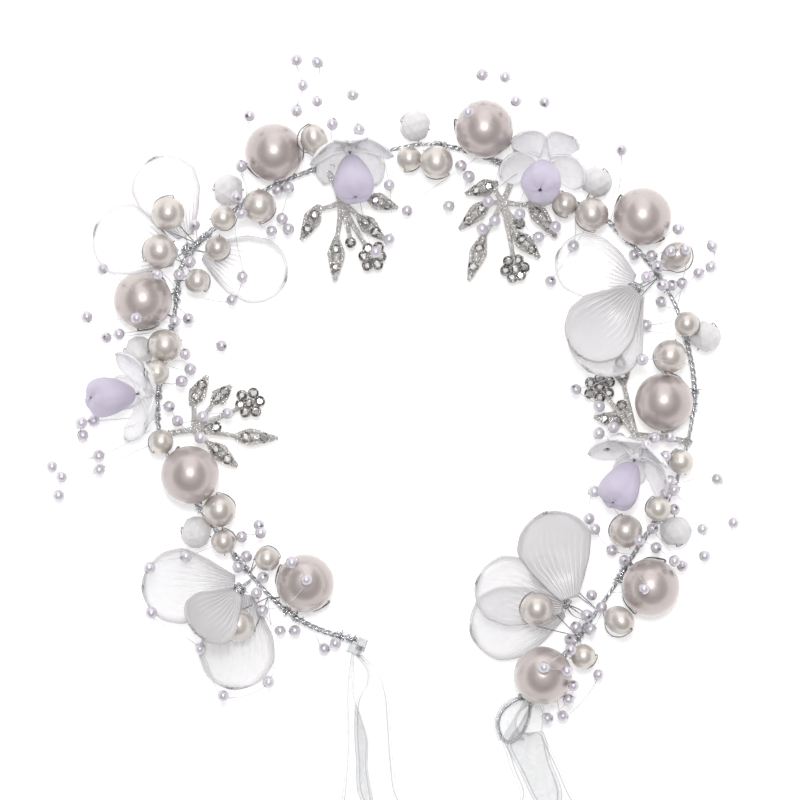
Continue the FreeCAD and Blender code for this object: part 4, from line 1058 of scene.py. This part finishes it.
def leaf(shell, base, tip, width, twist):
    """A cast leaf: a domed plate with a vein, a rope of grains on its rim and a rough skin, with two
    lines of painted shade beside its vein.
    """
    x = unit(tip - base)
    y = unit(np.cross(UP, x)) * math.cos(twist) + UP * math.sin(twist)
    z = np.cross(x, y)
    length = np.linalg.norm(tip - base)
    v = np.linspace(0.015, 0.985, 26)
    u = np.linspace(-1, 1, 13)
    half = width / 2 * np.minimum((v / 0.36) ** 0.75, 1.06 * ((1 - v) / 0.62) ** 0.85)
    half = np.minimum(half, width / 2) + 0.1
    px = v[:, None] * length + 0 * u
    py = half[:, None] * u
    vein = np.exp(-(u / 0.16) ** 2) * 0.25
    dome = 0.45 * (1 - u ** 2) * np.sin(math.pi * v)[:, None]
    grain = random.uniform(-0.07, 0.07, size=px.shape)
    droop = -0.6 * (v[:, None] - 0.3) ** 2
    pz = dome + vein + grain + droop + 0.25 * np.sin(v * 6 + twist * 9)[:, None]
    points = base + px[..., None] * x + py[..., None] * y + pz[..., None] * z
    # Painted shade: two dark lines beside the vein, though the plate has no groove there.
    groove = np.clip(1 - np.abs(np.abs(u) - 0.45) / 0.22, 0, 1) * 0.7
    shape, faces = slab(points, 0.75)
    shell.add(shape, faces, mark=twice(0 * px + groove))
    steps = int(length / 0.62)
    for edge in (0, -1):
        at = np.linspace(1, len(v) - 2, steps)
        low = at.astype(int)
        rim = points[low, edge] + (points[low + 1, edge] - points[low, edge]) * (at - low)[:, None]
        for spot in rim:
            grain_ball(shell, spot + z * 0.25, random.uniform(0.26, 0.36))


def grain_ball(shell, centre, radius):
    points, faces = lathe([(0.05, -1), (0.7, -0.7), (1, 0), (0.7, 0.7), (0.05, 1)], 7)
    shell.add(points * radius + centre, faces + [tuple(range(7))[::-1], tuple(range(28, 35))])


def brilliant(shell, centre, radius, lean):
    """A cut stone: a girdle of eight flats, two rows of sixteen facets and a table."""
    matrix = facing(UP + lean)
    rings = [(radius, -0.15, 0.5), (radius, 0.08, 0.5), (radius * 0.8, 0.5, 0.0),
             (radius * 0.5, 0.72, 0.5)]
    turn = random.uniform(0, 1)
    for level in range(3):
        (r1, z1, s1), (r2, z2, s2) = rings[level], rings[level + 1]
        for number in range(8):
            a = (number + s1 + turn) * TAU / 8
            b = (number + 1 + s1 + turn) * TAU / 8
            c = (number + s2 + 1 + turn) * TAU / 8
            low1 = (r1 * math.cos(a), r1 * math.sin(a), z1)
            low2 = (r1 * math.cos(b), r1 * math.sin(b), z1)
            if s1 == s2:
                up1 = (r2 * math.cos(a), r2 * math.sin(a), z2)
                up2 = (r2 * math.cos(b), r2 * math.sin(b), z2)
                cut = [[low1, low2, up2, up1]]
            else:
                top = (r2 * math.cos(c), r2 * math.sin(c), z2)
                after = c + TAU / 8
                top2 = (r2 * math.cos(after), r2 * math.sin(after), z2)
                cut = [[low1, low2, top], [low2, top2, top]]
            # Each facet's tone picks its painted reflection, from dark to white.
            for corners in cut:
                shell.add(place(np.array(corners), matrix, centre), [tuple(range(len(corners)))],
                          tone=random.uniform(0, 1) ** 1.3)
    # The table too gets a painted reflection tone.
    angles = (np.arange(8) + 0.5 + turn) * TAU / 8
    table = np.stack([radius * 0.5 * np.cos(angles), radius * 0.5 * np.sin(angles), np.full(8, 0.72)], 1)
    shell.add(place(table, matrix, centre), [tuple(range(8))], tone=random.uniform(0.3, 1))


def spray(shell, stones, foot, fork, leaves, bunch, count, heading, singles, line):
    """Stalks from the band to every leaf and stone of one cast spray."""
    level = np.array([0, 0, SPRAY_HEIGHT])
    fork = np.array([*fork, 0]) + level
    bunch = np.array([*bunch, 0]) + level
    start = line[nearest(line, [*foot, BAND_HEIGHT])]
    seats = [bunch]
    for number in range(count - 1):
        angle = math.radians(heading + 60 * number)
        seats.append(bunch + np.array([math.cos(angle), math.sin(angle), 0]) * random.uniform(2.0, 2.7)
                     + UP * random.uniform(-0.5, 0.5))
    ends = [bunch]
    for x, y in singles:
        seats.append(np.array([x, y, SPRAY_HEIGHT]))
        ends.append(seats[-1])
    for base, tip in leaves:
        base, tip = np.array([*base, SPRAY_HEIGHT]), np.array([*tip, SPRAY_HEIGHT])
        leaf(shell, base, tip, 3.7, random.uniform(-0.3, 0.3))
        ends.append(base + (tip - base) * 0.15)
        seats += [base + (tip - base) * 0.3, base + (tip - base) * 0.68]
    wire(shell, [start, (start + fork) / 2 + [0.4, 0.2, 0.5], fork], STALK_RADIUS, 9)
    for end in ends:
        bow = (fork + end) / 2 + np.array([*random.uniform(-0.35, 0.35, 2), 0.35])
        path = through([fork, bow, end], 0.5)
        shell.add(*sweep(path, np.linspace(STALK_RADIUS, 0.55, len(path)), 9))
    knot(shell, start + [0, 0, 0.6], 1.1, 3)
    for seat in seats:
        lean = random.uniform(-0.16, 0.16, 3) * [1, 1, 0]
        cup = [(0.6, -0.75), (1.05, -0.7), (1.34, 0.1), (1.38, 0.85), (1.22, 0.95), (1.12, 0.75),
               (1.1, 0.3), (0.6, 0.25)]
        points, faces = lathe(cup + cup[:1], CUP_SIDES)
        lifted = seat + UP * random.uniform(-0.1, 0.35)
        # Painted shade: the inside of each cup, under its stone, is painted dark, and its lip and upper
        # outside partly so.
        shade = np.array([0, 0, 0.1, 0.45, 0.2, 1, 1, 1, 0])
        shell.add(place(points, facing(UP + lean), lifted), faces, mark=np.repeat(shade, CUP_SIDES))
        for prong in range(4):
            angle = prong * TAU / 4 + 0.5
            claw = lifted + np.array([1.16 * math.cos(angle), 1.16 * math.sin(angle), 1.0])
            grain_ball(shell, claw, 0.26)
        brilliant(stones, lifted + UP * 0.72, 1.1, lean)


def sprays(looks, line):
    stones = two_shells()
    for name, side, *rest in SPRAYS:
        shell = Shell()
        spray(shell, stones[side], *rest, line)
        shell.piece("cast_spray_" + name, looks["cast"], "silver_leaf", "crown_" + side,
                    ["leaf_spray_" + name])
    for side in stones:
        stones[side].piece("cut_stones_" + side, looks["stone"], "rhinestone", "crown_" + side,
                           ["rhinestones_" + side], smooth=False)


# ---------------------------------------------------------------- ribbons

# How far a fold's flat part stops short of its turn.
FOLD_INSET = 0.8


def strip(shell, stations, waves, seed):
    """Organza along pairs of edge points. Where the edges are close the cloth gathers in pleats."""
    edges = [through([station[edge] for station in stations], 1.0) for edge in (0, 1)]
    count = max(len(edge) for edge in edges)
    at = np.linspace(0, 1, count)
    left, right = (
        np.stack([np.interp(at, np.linspace(0, 1, len(edge)), edge[:, k]) for k in range(3)], 1)
        for edge in edges)
    s = np.linspace(0, 1, 33)
    draw = np.random.default_rng(seed)
    spine = (left + right) / 2
    tangent = np.gradient(spine, axis=0)
    tangent /= np.maximum(np.linalg.norm(tangent, axis=1), 1e-6)[:, None]
    across = right - left
    width = np.linalg.norm(across, axis=1)
    normal = np.cross(across / width[:, None], tangent)
    normal /= np.maximum(np.linalg.norm(normal, axis=1), 1e-6)[:, None]
    missing = np.sqrt(np.maximum(RIBBON_WIDTH ** 2 - width ** 2, 0))
    amplitude = missing / (4 * waves)
    phase = draw.uniform(0, TAU) + 0.9 * np.sin(np.linspace(0, 5, count) + draw.uniform(0, TAU))
    pleat = np.sin(s[None, :] * TAU * waves + phase[:, None]) * amplitude[:, None]
    ripple = 0.12 * np.sin(np.linspace(0, count / 7, count)[:, None] + s[None, :] * 4)
    points = left[:, None] + across[:, None] * s[None, :, None]
    points = points + (pleat + ripple)[..., None] * normal[:, None]
    points[..., 2] = np.maximum(points[..., 2], 0.12 + 0.05 * (s[None, :] % 0.3))
    run = np.concatenate([[0], np.cumsum(np.linalg.norm(np.diff(spine, axis=0), axis=1))])
    shape, faces = slab(points, CLOTH_WALL)
    shell.add(shape, faces, tone=draw.uniform(0, 1),
              across=twice(0 * run[:, None] + (s[None, :] - 0.5) * RIBBON_WIDTH),
              along=twice(run[:, None] + 0 * s[None, :]))


def level(y, x_left, x_right, z):
    """A pair of edge points across a tail that runs down the page."""
    return ((x_left, y, z), (x_right, y, z))


def stack(x_left, x_right, drift, rises, near_y=-101.5, far_y=-146.8):
    """The spare length of a tail, folded to and fro in layers, from its cut end."""
    stations = []
    top = len(rises) - 1
    for number, z in enumerate(rises[::-1]):
        shift = drift * (top - number) / top
        sides = (x_left + shift, x_right + shift)
        turns = (near_y - FOLD_INSET, far_y + FOLD_INSET)[::1 if number % 2 == 0 else -1]
        for y in (turns[0], (near_y + far_y) / 2, turns[1]):
            stations.append(level(y, *sides, z))
        if number < top:
            after = (z + rises[::-1][number + 1]) / 2
            stations.append(level(far_y if number % 2 == 0 else near_y, *sides, after))
    return stations


def wrap(shell, centre, axis, radius, length, seed):
    """A gathered turn of ribbon round the wire: a lumpy pleated ring."""
    draw = np.random.default_rng(seed)
    matrix = facing(axis)
    turn = np.linspace(0, TAU * 1.15, 44)
    s = np.linspace(-1, 1, 25)
    lump = 1 + 0.12 * np.sin(turn * 3 + draw.uniform(0, TAU))
    reach = radius * lump[:, None] + 0.28 * np.sin(s[None, :] * 13 + turn[:, None])
    reach = reach + 0.3 * (turn / TAU)[:, None]
    points = np.stack([reach * np.cos(turn)[:, None], reach * np.sin(turn)[:, None],
                       s[None, :] * length / 2 + 0 * reach], -1)
    points = place(points.reshape(-1, 3), matrix, centre).reshape(reach.shape + (3,))
    points[..., 2] = np.maximum(points[..., 2], 0.15)
    shape, faces = slab(points, CLOTH_WALL)
    shell.add(shape, faces, tone=0.5, across=twice(0 * turn[:, None] + s[None, :] * RIBBON_WIDTH / 2),
              along=twice(turn[:, None] * radius + 0 * s[None, :]))


def ribbons(looks):
    """Two ribbons, each 10 mm wide and half a metre long, tied at their middle."""
    layers = (0.35, 1.05, 1.75, 2.45)
    left = Shell()
    strip(left, stack(-22.4, -12.7, 0.3, layers) + [
        level(-96, -21.2, -13.8, 0.5), level(-88.8, -20.4, -15, 0.7), level(-82, -20.0, -15.0, 0.9),
        level(-77, -19.95, -16.4, 1.1), level(-72, -20.0, -18.1, 1.4), level(-66, -19.6, -18.2, 1.9),
        level(-61.3, -19.0, -18.3, 2.6)], 2, 3)
    strip(left, stack(-11.4, -1.7, -4.4, layers) + [
        level(-96, -17.0, -7.2, 0.45), level(-87, -17.8, -8.8, 0.5), level(-80, -18.2, -9.3, 0.7),
        level(-72, -17.6, -10.0, 1.1), level(-68.5, -15.4, -11.0, 1.5), level(-65, -15.3, -12.6, 1.9),
        level(-61.5, -17.6, -16.4, 2.6)], 2, 8)
    wrap(left, np.array([-18.2, -60.0, 2.9]), (-0.45, -1, 0), 1.5, 2.6, 2)
    wrap(left, np.array([-16.4, -58.8, 2.8]), (1, -0.35, 0), 1.35, 2.2, 5)
    piece = left.piece("organza_left", looks["organza"], "organza", "crown_left", ["ribbon_left"])
    right = Shell()
    strip(right, stack(18.1, 27.8, 3.6, layers) + [
        level(-96, 21.9, 32.0, 0.5), ((19.6, -89.2, 0.8), (29.3, -87.2, 0.8)),
        ((17.9, -83.8, 1.9), (27.0, -79.8, 2.6)), ((17.3, -81.8, 3.6), (23.0, -80.4, 3.7)),
        ((19.6, -77.5, 3.7), (23.6, -76.2, 3.8)), ((22.6, -72.8, 3.8), (26.0, -71.8, 3.9)),
        ((24.0, -71.2, 2.6), (26.4, -70.6, 2.6))], 2, 4)
    strip(right, stack(29.1, 38.8, -3.6, layers) + [
        level(-96, 24.7, 34.7, 0.45), ((21.6, -89.5, 0.7), (31.3, -88.3, 0.7)),
        ((19.2, -85.0, 1.7), (28.4, -82.4, 1.6)), ((18.6, -83.0, 3.3), (27.3, -79.2, 3.2)),
        ((21.4, -78.6, 4.1), (27.7, -75.2, 4.0)), ((24.3, -72.9, 4.0), (26.9, -72.2, 4.0)),
        ((25.0, -71.2, 2.8), (26.8, -70.8, 2.8))], 2, 6)
    strip(right, [((24.2, -71.6, 1.5), (26.0, -72.6, 1.5)), ((19.6, -71.9, 1.4), (22.6, -74.5, 1.4)),
                  ((16.4, -74.4, 1.2), (21.0, -77.0, 1.3)), ((15.3, -78.0, 1.1), (21.3, -79.4, 1.2)),
                  ((16.6, -82.3, 1.0), (23.0, -82.0, 1.2))], 2, 9)
    piece = right.piece("organza_right", looks["organza"], "organza", "crown_right", ["ribbon_right"])


# ---------------------------------------------------------------- the scene


def stage():
    """A pale floor and soft light from all round, with a small lamp and a wide one above."""
    shell = Shell()
    side = 1500.0
    ticks = np.linspace(-side, side, 5)
    flat = np.stack([*np.meshgrid(ticks, ticks), np.zeros((5, 5))], -1).transpose(1, 0, 2)
    shell.add(flat, [face[::-1] for face in grid(5, 5)])
    mesh = bpy.data.meshes.new("floor")
    mesh.from_pydata(np.concatenate(shell.points) * MM, [], shell.faces)
    mesh.materials.append(floor_look())
    floor = bpy.data.objects.new("floor", mesh)
    bpy.context.scene.collection.objects.link(floor)
    world = bpy.data.worlds.new("studio")
    bpy.context.scene.world = world
    world.use_nodes = True
    tree = world.node_tree
    direction = tree.nodes.new("ShaderNodeTexCoord").outputs["Generated"]
    split = tree.nodes.new("ShaderNodeSeparateXYZ")
    tree.links.new(direction, split.inputs[0])
    ramp = tree.nodes.new("ShaderNodeValToRGB")
    tree.links.new(split.outputs["Z"], ramp.inputs[0])
    levels = [(0.0, 1.0), (0.26, 1.2), (0.42, 0.3), (0.72, 0.16), (0.9, 0.5), (1.0, 0.6)]
    while len(ramp.color_ramp.elements) < len(levels):
        ramp.color_ramp.elements.new(0.5)
    for element, (spot, value) in zip(ramp.color_ramp.elements, levels):
        element.position = spot
        element.color = (value, value, value * 1.01, 1)
    tree.links.new(ramp.outputs["Color"], tree.nodes["Background"].inputs["Color"])
    tree.nodes["Background"].inputs["Strength"].default_value = 1.25
    softbox("key", (-0.01, 0.2, 1.25), 0.24, 6.5)
    softbox("fill", (0.0, 1.5, 1.5), 2.2, 16.0)


def softbox(name, spot, size, energy):
    """A round lamp that faces the middle of the crown."""
    lamp = bpy.data.lights.new(name, "AREA")
    lamp.shape = "DISK"
    lamp.size = size
    lamp.energy = energy
    box = bpy.data.objects.new(name, lamp)
    box.location = spot
    box.rotation_euler = (-math.atan2(spot[1], spot[2]), math.atan2(spot[0], spot[2]), 0)
    bpy.context.scene.collection.objects.link(box)


def camera():
    """Straight above, with a long lens."""
    height, field, middle_x, focus = 1.2, 0.192, -0.0072, 0.008
    lens = bpy.data.cameras.new("camera")
    lens.sensor_width = 36
    lens.lens = 36 * (height - focus) / field
    lens.clip_end = 10
    eye = bpy.data.objects.new("camera", lens)
    eye.location = (middle_x, 0, height)
    bpy.context.scene.collection.objects.link(eye)
    bpy.context.scene.camera = eye


def all_looks():
    cream = pearl_look("cream_pearl_coating", (0.55, 0.505, 0.475), (0.68, 0.64, 0.60), 0.52, 200,
                       (0.5, 0.42, 0.3))
    seed = pearl_look("seed_pearl_coating", (0.60, 0.565, 0.63), (0.72, 0.69, 0.76), 0.45, 500,
                      (0.4, 0.37, 0.42))
    frosted = frosted_look("frosted_resin", (0.62, 0.605, 0.61), (0.74, 0.725, 0.73), 0.5, soft=0.3)
    return {
        "pearl": pearl_look("big_pearl_coating", (0.48, 0.42, 0.41), (0.54, 0.48, 0.465), 0.5, 90),
        "cream_pearls": (cream, "cream_pearl"),
        "small_pearls": (cream, "cream_pearl"),
        "rice_pearls": (cream, "cream_pearl"),
        "frosted_beads": (frosted, "frosted_bead"),
        "seed": seed,
        "silver": metal_look("bright_silver_wire", (0.34, 0.345, 0.36), (0.88, 0.89, 0.91),
                             0.22, 900, 0.00005),
        "stem": metal_look("steel_bead_wire", (0.22, 0.22, 0.23), (0.50, 0.50, 0.51),
                           0.28, 900, 0.00003),
        "pin": metal_look("dark_pin_steel", (0.16, 0.16, 0.17), (0.36, 0.36, 0.38), 0.28, 900, 0.00003),
        "cast": metal_look("cast_silver", (0.46, 0.435, 0.41), (1.0, 0.99, 0.97), 0.26, 1500, 0.0004),
        "stone": stone_look(),
        "petal_clear": petal_look("clear_ribbed_film", (0.93, 0.92, 0.93), (0.54, 0.52, 0.54),
                                  0.03, 0.42, (0.72, 0.68, 0.715)),
        "petal_film": petal_look("sheer_ribbed_film", (0.80, 0.79, 0.805), (0.97, 0.96, 0.97),
                                 0.3, 0.8, (0.66, 0.635, 0.65)),
        "petal_milky": petal_look("milky_ribbed_film", (0.76, 0.745, 0.755), (0.97, 0.96, 0.97),
                                  0.6, 0.95, (0.58, 0.555, 0.565)),
        # A darker, denser copy of the ribbed film: its darker colour is painted shade.
        "petal_grey": petal_look("shade_darkened_ribbed_film", (0.58, 0.57, 0.575), (0.80, 0.79, 0.80),
                                 0.8, 0.97, (0.52, 0.50, 0.505)),
        "cap": frosted_look("pearly_white_resin", (0.95, 0.94, 0.955), (1.0, 0.995, 1.0), 0.3, 300,
                            alpha=0.8, soft=0.15),
        "bell": frosted_look("matt_lilac_resin", (0.515, 0.47, 0.575), (0.565, 0.52, 0.63), 0.55, 260,
                             soft=0.2),
        "nylon": clear_line_look(),
        "organza": organza_look(),
    }


def clear_line_look():
    look = Look("clear_nylon", Roughness=0.12, Specular_IOR_Level=0.6)
    look.feed("Base Color", look.ramp(
        look.noise(400, 2), (0.4, (0.50, 0.50, 0.53)), (0.6, (0.66, 0.66, 0.69))))
    look.feed("Alpha", look.spread(look.noise(120, 3), 0.35, 0.65, 0.05, 0.4))
    return look.material


looks = all_looks()
line = band(looks)
eyelet(looks)
for side in ("left", "right"):
    beads(side, looks)
    big_pearls(side, looks, line)
    nylon(side, looks)
large_petals(looks)
flowers(looks, line)
sprays(looks, line)
ribbons(looks)
stage()
camera()
bpy.context.scene.view_settings.view_transform = "Standard"
